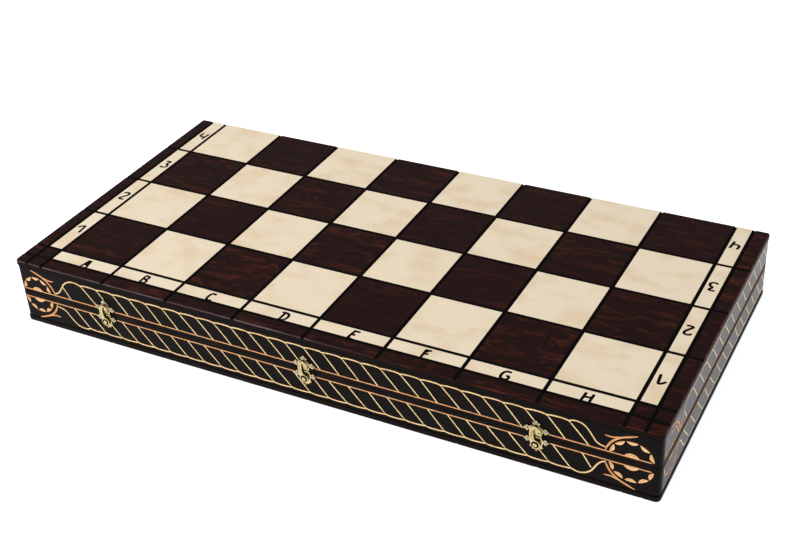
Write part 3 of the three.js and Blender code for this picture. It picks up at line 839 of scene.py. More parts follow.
# The S that a rope rises in and the one that it comes down in: (along the wall, share of the rope's height).
RISE = [(0, 0.1), (4.5, 0.2), (8.6, 0.46), (12.6, 0.8), (19, 0.99), (25, 1.03), (31.6, JUNCTION)]
FALL = [(29.0, JUNCTION), (25.5, 1.03), (20, 1.02), (15.6, 0.9), (11.2, 0.6), (7, 0.25), (0, 0.17)]
S_IN, S_OUT = RISE[-1][0], FALL[0][0]
LOW_S_IN, LOW_S_OUT = 26.6, 34.0  # lengths of the same two on the lower front rope
# Tone is painted light: how pale each kind of cut's raw wood is painted, as it is lit.
STRANDS, ARCHES, LINES, PETALS = 1.0, 0.6, 0.0, 0.42  # the tone of each kind of cut


def around(s):
    """A place s along the outside of the walls, from the front's middle: its x, y and outward direction."""
    out = np.abs(s)
    bend = np.clip((out - FLAT_HALF) / CORNER, 0, np.pi / 2)
    side = np.where(s < 0, -1, 1)
    x = side * (np.minimum(out, FLAT_HALF) + CORNER * np.sin(bend))
    y = FRONT + CORNER * (1 - np.cos(bend)) + np.maximum(out - FRONT_HALF, 0)
    return x, y, side * np.sin(bend), -np.cos(bend)


def rope(length, rise_in, fall_out):
    """A carved rope from its foot at s = 0: paths in (s, share of the rope's height), half widths and tones.

    Each strand leaves the line, runs straight up to the left and bends into a flat arch that meets the next
    strand: height = arch (1 - exp(-t / 0.16)) (1 - t^4) over one pitch. The first rises from the line in an
    S of length rise_in, the last comes down in one of length fall_out. Where that is 0 the end is open, and
    the strands run out there.
    """
    count = int(round((length - rise_in - fall_out) / STRAND_PITCH))
    pitch = (length - rise_in - fall_out) / count
    t = np.linspace(0, 1, 13)[1:]
    lift = ARCH / ROPE_TALL[1] * (1 - np.exp(-t / 0.16)) * (1 - t**4)
    cuts = []
    for k in range(count + 1):
        x = rise_in + k * pitch
        run = STRAND_RUN + chance.uniform(-STRAND_NUDGE, STRAND_NUDGE)
        if k == 0 and rise_in:
            arch = eased(RISE)[::-1] * (rise_in / S_IN, 1)
        else:
            arch = np.stack([x - t * pitch, JUNCTION + lift], 1)
        top = (x + 0.08 * run, 0.87)
        cuts.append((eased([(x + run, -0.01), (x + 0.5 * run, 0.48), top], 1), STRAND_HALF, STRANDS))
        cuts.append((np.concatenate([[top, (x, JUNCTION)], arch]), 1.25 * STRAND_HALF, ARCHES))
    if rise_in:
        cuts.append((np.array([(10.6, 0.62), (18.2, -0.01)]), STRAND_HALF, STRANDS))
    if fall_out:
        fall = eased(FALL) * (-fall_out / S_OUT, 1) + (length, 0)
        cuts.append((fall, 1.15 * STRAND_HALF, ARCHES))
    return cuts


def ornament(wide, high, towards, petal):
    """Half a rosette about s = 0, its petals bulging in by petal, and a sprig towards the rope."""
    cuts = []
    for a in np.radians([18, 54, 90, 126, 162]):
        t = np.linspace(a - PETAL_HALF, a + PETAL_HALF, 9)
        cuts.append(moon(np.stack([wide * np.cos(t), high * np.sin(t)], 1), petal, tone=PETALS))
    t = np.linspace(-1, 1, 13)
    cuts.append(moon(np.stack([6.2 * t, 0 * t], 1), 1.16 * petal, tone=PETALS))
    cuts.append(vee(eased(SPRIG) * (towards, 1), 0.85, tone=LINES, taper=9.0))
    cuts.append(vee(eased(TWIG) * (towards, 1), 0.7, tone=LINES, taper=5.0))
    return cuts


def half_cuts(up):
    """All cuts of one half's walls in (s, z): the straight line, three ropes and four ornaments."""
    line = SEAM + up * LINE_UP[up]
    end = FRONT_HALF + END_LENGTH
    corner = FLAT_HALF + ARC / 2
    cuts = []
    for s0, s1 in (
        (-end - LINE_PAST, -corner - LINE_IN),
        (1 - corner, corner - LINE_IN),
        (corner + LINE_IN, end + LINE_PAST),
    ):
        cuts.append(vee([(s0, line), (s1, line)], LINE_HALF, taper=2.5))
    first, last = -corner + ORNAMENT_IN + ROPE_FROM - 3, corner - ORNAMENT_IN - ROPE_FROM
    side = corner + ORNAMENT_IN + ROPE_FROM
    far = end + PAST_END
    if up > 0:
        ends = [(S_IN, S_OUT), (S_IN, 0), (0, S_OUT)]
    else:  # the same ropes, each turned half a turn in its own length
        ends = [(LOW_S_IN, LOW_S_OUT), (0, S_OUT), (S_IN, 0)]
    spans = [(first, last - first), (side, far - side), (-far, far - side)]
    for (start, length), (rise_in, fall_out) in zip(spans, ends):
        for path, half, tone in rope(length, rise_in, fall_out):
            s = path[:, 0] if up > 0 else length - path[:, 0]
            z = line + up * ROPE_TALL[up] * path[:, 1]
            cuts.append(vee(np.stack([start + s, z], 1), half, tone=tone, taper=1.5))
    for middle, wide, high, towards, petal in (  # towards is 1 where its rope lies at greater s
        (-corner + ORNAMENT_IN - 5, 15.2, 14.2, 1, 3.2),
        (corner - ORNAMENT_IN + 1.6, 17.2, 14.8, -1, 3.2),
        (corner + ORNAMENT_IN, 16.6, 14.8, 1, 1.7),
        (-corner - ORNAMENT_IN, 16.6, 14.8, -1, 1.7),
    ):
        for cut in ornament(wide, high, towards, petal):
            sides = (cut.low, cut.bed, cut.high) if up > 0 else (-cut.high, -cut.bed, -cut.low)
            cuts.append(Cut(cut.path * (1, up) + (middle, line), *sides, cut.deep, cut.tone))
    return cuts


def wall_piece(part, name, node, span, inner, cuts):
    """One wall: its carved outside wrapped round the corner, small chamfers and a flat inside."""
    s0, s1 = span
    z0, z1 = (box(f"{part}_front_wall")[k][2] for k in (0, 1))
    outline = [(s0, z0 + WALL_ARRIS), (s1, z0 + WALL_ARRIS), (s1, z1 - WALL_ARRIS), (s0, z1 - WALL_ARRIS)]
    middle, stretch = (z0 + z1) / 2, (z1 - z0) / (z1 - z0 - 2 * WALL_ARRIS)

    def place(flat, sink):
        x, y, out_x, out_y = around(flat[:, 0])
        return np.stack([x - out_x * sink, y - out_y * sink, flat[:, 1]], 1)

    def chamfer(flat, sink, _):
        tall = flat * (1, stretch) + (0, middle * (1 - stretch))
        return place(tall, np.maximum(sink, WALL_ARRIS)), 0.0

    def inside_face(flat, sink, _):
        share = (flat[:, :1] - s0) / (s1 - s0)
        plan = np.array(inner[0]) * (1 - share) + np.array(inner[1]) * share
        return np.concatenate([plan, flat[:, 1:] * stretch + middle * (1 - stretch)], 1), 0.0

    bends = [side * (FLAT_HALF + ARC * k / 10) for side in (-1, 1) for k in [*range(-1, 11), 12, 16]]
    guides = [[(s, z0), (s, z1)] for s in bends if s0 + 0.1 < s < s1 - 0.1]
    near = [c for c in cuts if c.path[:, 0].max() > s0 - 5 and c.path[:, 0].min() < s1 + 5]
    shell = carved(outline, near, place, [chamfer, inside_face], guides)
    z = shell.points[:, 2]
    beyond_line = np.abs(z - SEAM) > LINE_UP[1 if z0 > SEAM - 1 else -1] + 0.1
    outside = np.abs(shell.points[:, 0]) > HALF - 1.2
    past_corner = np.clip((shell.points[:, 1] - FRONT - CORNER) / GLOSS_OVER, 0, 1)
    up_or_down = np.abs(z - middle) * 2 / (z1 - z0)  # 1 at the wall's long edges
    # The gloss mark raises the lacquer coat and also mixes in a painted bluish sheen.
    shell.point_marks["gloss"] = past_corner * outside * beyond_line
    shell.point_marks["edge"] = np.clip((up_or_down - 0.97) / 0.03, 0, 1)
    stands_for = [f"{part}_{node}"]
    make(f"{part}_carved_{name}", [shell], FINISHES["carved"], f"{part}_tray", stands_for)


INSIDE_X, INSIDE_Y = HALF - WALL, FRONT + WALL
REACH = FRONT_HALF + END_LENGTH
for part, up in (("upper", 1), ("lower", -1)):
    cuts = half_cuts(up)
    for name, node, span, inner in (
        ("front", "front_wall", (-FRONT_HALF, FRONT_HALF), [(-INSIDE_X, INSIDE_Y), (INSIDE_X, INSIDE_Y)]),
        ("right_end", "right_wall", (FRONT_HALF, REACH), [(INSIDE_X, INSIDE_Y), (INSIDE_X, BACK)]),
        ("left_end", "left_wall", (-REACH, -FRONT_HALF), [(-INSIDE_X, BACK), (-INSIDE_X, INSIDE_Y)]),
    ):
        wall_piece(part, name, node, span, inner, cuts)

# ---------------------------------------------------------------- back walls

pin_low, pin_high = box("left_hinge_pin")
leaf_low, leaf_high = box("left_hinge_lower_leaf")
HINGE_X = abs(pin_low[0] + pin_high[0]) / 2
HINGE_HALF = (leaf_high[0] - leaf_low[0]) / 2
PIN_HALF = (pin_high[0] - pin_low[0]) / 2
PIN_R = (pin_high[2] - pin_low[2]) / 2
PIN_Y = (pin_low[1] + pin_high[1]) / 2
KNUCKLE_R = leaf_high[2] - SEAM
LEAF_FRONT = leaf_low[1]
LEAF = 1.0
PLAY = 0.3


def back_plan(ends, low, high, up, by, notch):
    """A back wall's outline in (x, z), inset along both edges, with a notch for each hinge."""
    seam, far = (low, high) if up > 0 else (high, low)
    half = PIN_HALF + PLAY
    line = [(-ends, seam + up * by)]
    for middle in (-HINGE_X, HINGE_X):
        for x, z in ((-half, by), (-half, notch), (half, notch), (half, by)):
            line.append((middle + x, seam + up * z))
    line += [(ends, seam + up * by), (ends, far - up * by), (-ends, far - up * by)]
    return np.array(line if up > 0 else line[::-1])


def back_wall(part, up):
    """A plain back wall: small chamfers outside, and notches for the knuckles and then the leaves."""
    z0, z1 = (box(f"{part}_back_wall")[k][2] for k in (0, 1))
    ends = HALF - WALL
    knuckle_deep = KNUCKLE_R + PLAY - abs((z0 if up > 0 else z1) - SEAM)

    def place(flat, sink):
        return np.stack([flat[:, 0], BACK - sink, flat[:, 1]], 1)

    outline = back_plan(ends, z0, z1, up, WALL_ARRIS, knuckle_deep + WALL_ARRIS)
    steps = [(knuckle_deep, WALL_ARRIS), (LEAF + PLAY, KNUCKLE_R + PLAY), (LEAF + PLAY, WALL)]
    rings = [step_to(outline, back_plan(ends, z0, z1, up, 0, notch), place, drop) for notch, drop in steps]
    shell = carved(outline, [], place, rings)
    rim = np.abs(np.abs(shell.points[:, 2] - (z0 + z1) / 2) * 2 / (z1 - z0) - 1) < 0.02
    shell.point_marks["edge"] = (rim & (shell.points[:, 1] > BACK - 1)).astype(float)
    stands_for = [f"{part}_back_wall"]
    make(f"{part}_plain_back", [shell], FINISHES["carved"], f"{part}_tray", stands_for)


back_wall("upper", 1)
back_wall("lower", -1)

# ---------------------------------------------------------------- felt linings

FELT_EDGE = 1.2  # radius of its rim
FELT_WAVE = 0.12
FELT_GRID = (150, 80)


def spread(low, high, count):
    """Places from low to high that lie closer together towards both: 0.7 t + 0.3 (1 - cos pi t) / 2."""
    t = np.linspace(0, 1, count)
    return low + (high - low) * (0.7 * t + 0.3 * (0.5 - 0.5 * np.cos(np.pi * t)))


def lining(part):
    """A glued sheet of felt, flat on the panel.

    height = thickness (0.25 + 0.75 rim) - waves rim, where rim is a quarter round up from the edge and waves
    comes from a product of two slow sines.
    """
    low, high = box(f"{part}_felt_lining")
    columns, rows = FELT_GRID
    gx, gy = np.meshgrid(spread(low[0], high[0], columns), spread(low[1], high[1], rows))
    from_rim = np.minimum.reduce([gx - low[0], high[0] - gx, gy - low[1], high[1] - gy])
    round_rim = np.sqrt(1 - (1 - np.clip(from_rim / FELT_EDGE, 0, 1)) ** 2)
    waves = np.sin(gx / 31 + 1.3 * np.sin(gy / 47)) * np.sin(gy / 23 + np.sin(gx / 61))
    thick = (high[2] - low[2]) * (0.25 + 0.75 * round_rim) - FELT_WAVE * (1 + waves) / 2 * round_rim
    start, up = (low[2], 1) if part == "lower" else (high[2], -1)
    top = np.stack([gx, gy, start + up * thick], -1).reshape(-1, 3)
    flat = np.stack([gx, gy, np.full_like(gx, start)], -1).reshape(-1, 3)
    grid = grid_faces(rows, columns)
    ids = np.arange(rows * columns).reshape(rows, columns)
    rim = np.concatenate([ids[0, :-1], ids[:-1, -1], ids[-1, :0:-1], ids[:0:-1, 0]])
    side = np.stack([rim, np.roll(rim, -1), np.roll(rim, -1) + len(top), rim + len(top)], 1)
    shell = Shell(np.concatenate([top, flat]), [grid, grid[:, ::-1] + len(top), side])
    piece = make(f"{part}_felt", [shell], FINISHES["felt"], f"{part}_tray", [f"{part}_felt_lining"])


lining("lower")
lining("upper")

# ---------------------------------------------------------------- hinges

SCREW_R = 1.9
SCREW_IN = 3.4  # from the leaf's front edge
SCREW_AT = (-0.72, 0, 0.72)  # along the leaf, as shares of its half length
LEAF_CORNER = 1.2
LEAF_ROUNDING = 0.15
BORE = PIN_R + 0.25
SINK_R = SCREW_R + 0.25


def hole(x, y, radius, steep):
    """A round sunk place: a straight cut as long as it is wide, whose half width follows a circle."""
    return vee([(x - radius, y), (x + radius, y)], radius, steep=steep, taper=radius)


def screw_head():
    """A slotted head that faces up, turned by chance."""
    slot = vee([(-SCREW_R, 0), (SCREW_R, 0)], 0.3, steep=1.0, taper=0.4)
    a = np.linspace(0, 2 * np.pi, 24, endpoint=False) + chance.uniform(0, np.pi)
    disc = np.stack([np.cos(a), np.sin(a)], 1) * (SCREW_R - 0.1)

    def place(flat, sink):
        return np.stack([flat[:, 0], flat[:, 1], -sink], 1)

    rings = [step_to(disc, disc * 1.04, place, 0.1), step_to(disc, disc * 0.5, place, 0.45)]
    return carved(disc, [slot], place, rings)


def leaf(side, part, up):
    """A hinge leaf and its screws: a plate with sinks, tongues to the pin and bored knuckles round it."""
    middle = -HINGE_X if side == "left" else HINGE_X
    third = 2 * HINGE_HALF / 3
    reach, stop = PIN_Y - PIN_R - 1, PIN_Y - KNUCKLE_R - PLAY
    gap = PLAY / 2
    if up < 0:
        edge = [(HINGE_HALF, reach), (third / 2 + gap, reach), (third / 2 + gap, stop),
                (-third / 2 - gap, stop), (-third / 2 - gap, reach), (-HINGE_HALF, reach)]
        spans = [(-HINGE_HALF, -third / 2 - gap), (third / 2 + gap, HINGE_HALF)]
    else:
        edge = [(HINGE_HALF, stop), (third / 2 - gap, stop), (third / 2 - gap, reach),
                (-third / 2 + gap, reach), (-third / 2 + gap, stop), (-HINGE_HALF, stop)]
        spans = [(-third / 2 + gap, third / 2 - gap)]
    front = [(-HINGE_HALF, LEAF_FRONT + LEAF_CORNER), (-HINGE_HALF + LEAF_CORNER, LEAF_FRONT),
             (HINGE_HALF - LEAF_CORNER, LEAF_FRONT), (HINGE_HALF, LEAF_FRONT + LEAF_CORNER)]
    outline = np.array(front + edge)
    face = SEAM + up * PLAY / 2

    def place(flat, sink):
        return np.stack([middle + flat[:, 0], flat[:, 1], face + up * sink], 1)

    inner = inset(outline, LEAF_ROUNDING)
    screw_x = [share * HINGE_HALF for share in SCREW_AT]
    screw_y = LEAF_FRONT + SCREW_IN
    sinks = [hole(x, screw_y, SINK_R, steep=0.4) for x in screw_x]
    rings = [step_to(inner, outline, place, LEAF_ROUNDING), step_to(inner, outline, place, LEAF)]
    shells = [carved(inner, sinks, place, rings)]
    shells += [tube(a, b, KNUCKLE_R, BORE).moved(shift=(middle, PIN_Y, SEAM)) for a, b in spans]
    name = f"{side}_hinge_{part}_leaf"
    make(f"{side}_brass_{part}_leaf", shells, FINISHES["brass"], f"{part}_tray", [name])
    screws = []
    for x in screw_x:
        head = screw_head() if up < 0 else screw_head().mirrored(2)
        screws.append(head.moved(shift=(middle + x, screw_y, face + up * 0.12)))
    make(f"{side}_{part}_screws", screws, FINISHES["steel"], f"{part}_tray")


for side in ("left", "right"):
    leaf(side, "lower", -1)
    leaf(side, "upper", 1)
    middle = -HINGE_X if side == "left" else HINGE_X
    head = [(0, -PIN_HALF), (0.6 * PIN_R, -PIN_HALF), (PIN_R, -PIN_HALF + 0.25)]
    head += [(r, -h) for r, h in head[::-1]]
    pin = turned(head, 24).moved([[0, 0, 1], [1, 0, 0], [0, 1, 0]], (middle, PIN_Y, SEAM))
    make(f"{side}_steel_pin", [pin], FINISHES["steel"], "lower_tray", [f"{side}_hinge_pin"])

# ---------------------------------------------------------------- latches

plate_low, plate_high = box("middle_latch_lower_plate")
hook_low, hook_high = box("middle_latch_hook")
PLATE_FACE, PLATE_BACK = FRONT - PLAY - 0.9, FRONT - 0.05
RIVET_FACE, PEG_FACE = plate_low[1], box("middle_latch_upper_plate")[0][1]
HOOK_FACE, HOOK_BACK = hook_low[1], hook_high[1]
RIVET_Z, PEG_Z = -7.0, 5.5  # from the seam
TIP_IN = (plate_high[0] - plate_low[0]) / 2 - 3  # from the plate's middle to its stars' middles
NAIL_R, NAIL_TALL, NAIL_HOLE_R = 1.05, 0.6, 1.75
PIERCED_R = 0.75
NAILED = {"upper": [(-TIP_IN, 6.0), (TIP_IN, 6.0), (0, 12.0)], "lower": [(-TIP_IN, -4.5), (TIP_IN, -4.5)]}
PIERCED = {"upper": [(3.3, 2.3), (-3.3, 2.3), (-2.4, 9.6)], "lower": [(3.7, -4.4), (-3.6, -3.6), (0, -13.0)]}
# Shallow hollows in the plates beside the hook, darkened by the brass finish as painted shadow.
SHADE_HOLLOWS = {"upper": [(1.9, 4.4, 3.0), (0.4, 8.6, 2.2)], "lower": [(2.2, -2.4, 1.6)]}  # (x, z, radius)

# Right halves of the two plates in (x, z from the seam), each from the seam's middle to its far point.
UPPER_PLATE = [
    (0, 0.6), (4.4, 0.6), (4.5, 2.4), (5.2, 4.0), (6.2, 4.6), (7.5, 3.0), (8.85, 4.65), (10.5, 6.0),
    (8.85, 7.35), (7.5, 9.0), (6.2, 7.5), (5.2, 7.7), (4.5, 8.8), (3.6, 9.2), (2.2, 10.6), (3.4, 12.1),
    (1.5, 13.2), (0, 15.0),
]
LOWER_PLATE = [
    (0, -0.6), (4.4, -0.6), (4.4, -1.9), (5.2, -2.9), (6.2, -3.1), (7.5, -1.5), (8.85, -3.15), (10.5, -4.5),
    (8.85, -5.85), (7.5, -7.5), (6.2, -6.0), (5.4, -6.4), (4.9, -7.8), (4.9, -9.4), (5.6, -11.2),
    (3.9, -11.4), (3.0, -13.4), (1.6, -12.9), (0, -15.0),
]
# The hook's middle line from the rivet up the left side and over the peg, and its half width along it.
HOOK_LINE = [(-0.6, -7.0), (-2.3, -3.6), (-3.1, 0.0), (-3.2, 3.6), (-3.0, 6.6), (-1.4, 9.0), (1.2, 9.2),
             (3.3, 7.6), (4.2, 5.2), (3.9, 4.0)]
HOOK_HALF = [2.2, 2.0, 1.8, 1.75, 1.6, 1.2, 0.9, 0.7, 0.45, 0.12]
EYE_R = 4.0


def sheet_metal(outline, middle, face, back, rounding, cuts):
    """A plate cut from sheet metal in (x, z from the seam), its face at y = face, with rounded edges whose
    far part and sides are marked as cut, for painted shade.
    """
    inner = inset(outline, rounding)

    def place(flat, sink):
        return np.stack([middle + flat[:, 0], face + sink, SEAM + flat[:, 1]], 1)

    bend = np.linspace(0, np.pi / 2, 5)[1:]
    steps = [(1 - np.sin(a), 1 - np.cos(a)) for a in bend]
    rings = [step_to(inner, inset(outline, rounding * i), place, rounding * d) for i, d in steps]
    rings.append(step_to(inner, np.asarray(outline, float), place, back - face))
    shell = carved(inner, cuts, place, rings)
    drop = (shell.points[:, 1] - face) / (back - face)
    # Painted shade: the far part of the rounding and the side get the cut mark, which the brass finish
    # darkens.
    shell.point_marks["cut"] = np.maximum(shell.point_marks["cut"], np.clip(drop - 0.3, 0, 1))
    return shell


def both_halves(half):
    """A closed anticlockwise outline from its right half, which starts and ends on the middle line."""
    right = np.array(half)
    line = np.concatenate([right, right[-2:0:-1] * (-1, 1)])
    area = (line[:, 0] * np.roll(line[:, 1], -1) - np.roll(line[:, 0], -1) * line[:, 1]).sum()
    return line if area > 0 else line[::-1]


def stud(radius, height, x, z, face, middle, below):
    """A turned head that stands out of the front by height, with its rim on the face and a shank behind."""
    shell = turned(dome(radius, height, below), 28).moved([[1, 0, 0], [0, 0, -1], [0, 1, 0]])
    return shell.moved(shift=(middle + x, face, SEAM + z))


def hook_outline():
    """The hook's outline: its middle line moved out by its half width, round the eye at its foot."""
    line = eased(HOOK_LINE)
    run = np.linspace(0, 1, len(line))
    half = np.interp(run, np.linspace(0, 1, len(HOOK_HALF)), HOOK_HALF)
    step = np.gradient(line, axis=0)
    left = np.stack([-step[:, 1], step[:, 0]], 1) / np.hypot(*step.T)[:, None]
    one, other = line + left * half[:, None], line - left * half[:, None]
    far_one, far_other = (np.hypot(*(side - (0, RIVET_Z)).T) > EYE_R for side in (one, other))
    one, other = one[far_one], other[far_other]
    a0, a1 = (math.atan2(*(side[0] - (0, RIVET_Z))[::-1]) for side in (one, other))
    a = np.linspace(a0, a1 + 2 * np.pi, 26)[1:-1]
    eye = np.stack([EYE_R * np.cos(a), RIVET_Z + EYE_R * np.sin(a)], 1)
    return np.concatenate([other, one[::-1], eye])


def latch(side):
    """Two nailed plates with star tips, a peg, a rivet, and the hook that turns on it."""
    middle = np.mean([box(f"{side}_latch_upper_plate")[k][0] for k in (0, 1)])
    for part, half in (("upper", UPPER_PLATE), ("lower", LOWER_PLATE)):
        cuts = [hole(x, z, NAIL_HOLE_R, steep=0.28) for x, z in NAILED[part]]
        cuts += [hole(x, z, PIERCED_R, steep=1.2) for x, z in PIERCED[part]]
        cuts += [hole(x, z, radius, steep=0.16) for x, z, radius in SHADE_HOLLOWS[part]]
        shells = [sheet_metal(both_halves(half), middle, PLATE_FACE, PLATE_BACK, 0.35, cuts)]
        if part == "upper":  # the peg and its collar
            shells.append(stud(1.4, 0.3, 0, PEG_Z, PEG_FACE + 0.3, middle, below=1.6))
            shells.append(stud(2.4, 0.01, 0, PEG_Z, PLATE_FACE - 0.25, middle, below=0.6))
        else:  # the rivet's shank and its head
            shells.append(stud(1.5, 0.01, 0, RIVET_Z, RIVET_FACE + 0.9, middle, below=2.6))
            shells.append(stud(1.75, 0.75, 0, RIVET_Z, RIVET_FACE + 0.8, middle, below=0.9))
        name = f"{side}_latch_{part}_plate"
        body = f"{part}_tray"
        make(f"{side}_brass_{part}_plate", shells, FINISHES["brass"], body, [name], METAL_SHARP)
        nails = [stud(NAIL_R, NAIL_TALL, x, z, PLATE_FACE + 0.1, middle, below=0.8) for x, z in NAILED[part]]
        make(f"{side}_{part}_nails", nails, FINISHES["steel"], body, sharp=METAL_SHARP)
    arm = [(-3.0, -2.2), (-3.2, 2.0), (-3.1, 6.0)]
    cuts = [hole(0, RIVET_Z, 3.3, steep=0.6), vee(arm, 0.35, steep=0.8, taper=1.5)]
    hook = sheet_metal(hook_outline(), middle, HOOK_FACE, HOOK_BACK, 0.32, cuts)
    make(
        f"{side}_brass_hook", [hook], FINISHES["brass"], f"{side}_hook", [f"{side}_latch_hook"],
        METAL_SHARP,
    )


for side in ("left", "middle", "right"):
    latch(side)

# ---------------------------------------------------------------- turned men

# Each man's side as (share of base radius, share of length), from the middle of the foot to the top.
FOOT = [(0, 0), (0.93, 0), (0.97, 0.004), (1, 0.02), (1, 0.055), (0.98, 0.07), (0.9, 0.075), (0.9, 0.09),
        (0.93, 0.1), (0.92, 0.12), (0.84, 0.135), (0.74, 0.14), (0.72, 0.15)]
STEMS = {
    "pawn": [(0.6, 0.2), (0.42, 0.32), (0.34, 0.46), (0.36, 0.53), (0.56, 0.55), (0.6, 0.575),
             (0.56, 0.6), (0.42, 0.62), (0.4, 0.66), (0.46, 0.7), (0.53, 0.77), (0.54, 0.84),
             (0.46, 0.93), (0.26, 0.985), (0, 1)],
    "rook": [(0.62, 0.2), (0.5, 0.34), (0.45, 0.53), (0.5, 0.6), (0.66, 0.63), (0.68, 0.66), (0.66, 0.69),
             (0.57, 0.7), (0.57, 0.73), (0.62, 0.77), (0.68, 0.8), (0.68, 0.8), (0.68, 1), (0.68, 1),
             (0.66, 1), (0.45, 1), (0.44, 1), (0.42, 0.93), (0.4, 0.92), (0, 0.92)],
    "knight": [(0.64, 0.2), (0.58, 0.25), (0.58, 0.27), (0.66, 0.285), (0.66, 0.3), (0.62, 0.32),
               (0.6, 0.335), (0.58, 0.34), (0, 0.34)],
    "bishop": [(0.58, 0.2), (0.42, 0.3), (0.33, 0.44), (0.32, 0.52), (0.36, 0.56), (0.58, 0.58),
               (0.6, 0.6), (0.56, 0.62), (0.4, 0.635), (0.36, 0.66), (0.38, 0.69), (0.47, 0.74),
               (0.48, 0.79), (0.42, 0.85), (0.28, 0.91), (0.16, 0.935), (0.11, 0.945), (0.13, 0.965),
               (0.12, 0.985), (0.06, 0.998), (0, 1)],
    "queen": [(0.56, 0.2), (0.42, 0.3), (0.33, 0.46), (0.32, 0.56), (0.36, 0.61), (0.58, 0.63),
              (0.6, 0.65), (0.56, 0.67), (0.4, 0.685), (0.35, 0.71), (0.36, 0.74), (0.44, 0.82),
              (0.54, 0.885), (0.56, 0.9), (0.53, 0.91), (0.42, 0.93), (0.3, 0.95), (0.14, 0.958),
              (0.11, 0.965), (0.14, 0.98), (0.12, 0.994), (0, 1)],
    "king": [(0.56, 0.2), (0.42, 0.3), (0.33, 0.44), (0.32, 0.53), (0.36, 0.58), (0.57, 0.6), (0.6, 0.62),
             (0.56, 0.64), (0.4, 0.655), (0.35, 0.68), (0.36, 0.71), (0.44, 0.79), (0.53, 0.85),
             (0.54, 0.865), (0.5, 0.88), (0.36, 0.9), (0.2, 0.92), (0.1, 0.93), (0, 0.93)],
}
BASE = {"pawn": 0.77, "rook": 0.86, "knight": 0.86, "bishop": 0.86, "queen": 0.95, "king": 1.0}
LENGTH = {"pawn": 0.5, "rook": 0.63, "knight": 0.72, "bishop": 0.8, "queen": 0.9, "king": 1.0}
KNIGHT_HALF = 0.42  # half the head's thickness, of the base radius
TOP_NOTCHES = {"rook": 6, "queen": 10}


def man_size(kind):
    """Base radius and length of one kind of man, from the king's own."""
    low, high = box("pale_king")
    radius = (high[0] - low[0]) / 2
    span = high[1] - low[1]
    touch = np.array([(0.54, 0.86), (0.13, 1.0)])  # his crown and cross, as shares of radius and length
    length = span
    for _ in range(30):  # he lies over span = length cos tip + 2 radius sin tip, solved by steps
        tip = np.arctan2(radius - touch[:, 0] * radius, (touch[:, 1] - 0.06) * length).min()
        length = (span - 2 * radius * np.sin(tip)) / np.cos(tip)
    return BASE[kind] * radius, LENGTH[kind] * length


def horse_head(radius, length):
    """A horse's head and neck cut from a board, carved on both sides with mane, eye, nostril and mouth."""
    outline = [
        (-0.56, 0.325), (0.56, 0.325), (0.54, 0.37), (0.4, 0.43), (0.24, 0.5), (0.15, 0.57), (0.2, 0.625),
        (0.34, 0.655), (0.5, 0.65), (0.66, 0.65), (0.8, 0.68), (0.86, 0.725), (0.82, 0.775), (0.66, 0.83),
        (0.48, 0.875), (0.32, 0.92), (0.22, 0.94), (0.16, 0.98), (0.06, 1.01), (-0.02, 0.965), (-0.2, 0.965),
        (-0.42, 0.91), (-0.6, 0.81), (-0.7, 0.69), (-0.71, 0.55), (-0.66, 0.43),
    ]
    size = np.array([radius, length])
    line = eased(outline * size, closed=True)
    half, rounding = KNIGHT_HALF * radius, 0.2 * radius
    inner = inset(line, rounding)

    def place(flat, sink):
        return np.stack([flat[:, 0], sink - half, flat[:, 1]], 1)

    bend = np.linspace(0, np.pi / 2, 7)[1:]
    steps = [(rounding * (1 - np.sin(a)), rounding * (1 - np.cos(a))) for a in bend]
    rings = [step_to(inner, inset(line, by), place, drop) for by, drop in steps]
    rings.append(step_to(inner, line, place, half))
    cuts = [
        vee(eased(path * size), width, steep=0.7, taper=2.0)
        for path, width in (
            ([(0.0, 0.93), (-0.2, 0.88), (-0.34, 0.76), (-0.38, 0.6), (-0.32, 0.46)], 0.9),
            ([(-0.2, 0.96), (-0.28, 0.84)], 0.7),
            ([(-0.4, 0.92), (-0.36, 0.78)], 0.7),
            ([(-0.58, 0.82), (-0.42, 0.7)], 0.7),
            ([(-0.68, 0.7), (-0.42, 0.61)], 0.7),
            ([(-0.7, 0.57), (-0.4, 0.51)], 0.7),
            ([(-0.66, 0.44), (-0.36, 0.43)], 0.7),
            ([(0.84, 0.705), (0.68, 0.7), (0.54, 0.715)], 0.7),
            ([(0.24, 0.66), (0.32, 0.72), (0.28, 0.79), (0.14, 0.82)], 0.8),
            ([(0.12, 0.97), (0.1, 0.92), (0.04, 0.89)], 0.7),
        )
    ]
    cuts.append(hole(0.28 * radius, 0.86 * length, 1.3, steep=0.6))  # eye
    cuts.append(hole(0.72 * radius, 0.75 * length, 0.9, steep=0.8))  # nostril
    side = carved(inner, cuts, place, rings, open_back=True)
    return [side, side.mirrored(1)]


def bar(low, high, edge):
    """A straight bar with its four long edges cut off, along z."""
    (x0, y0, z0), (x1, y1, z1) = low, high
    plan = [(x0 + edge, y0), (x1 - edge, y0), (x1, y0 + edge), (x1, y1 - edge), (x1 - edge, y1),
            (x0 + edge, y1), (x0, y1 - edge), (x0, y0 + edge)]
    middle = np.mean(plan, 0)
    levels = [(z0, 0.75), (z0 + edge, 1), (z1 - edge, 1), (z1, 0.75)]
    points = [np.column_stack([middle + (np.array(plan) - middle) * k, np.full(8, z)]) for z, k in levels]
    count = np.arange(8)
    return Shell(np.concatenate(points), [grid_faces(4, 8, wrap=True), count[None, ::-1], count[None] + 24])


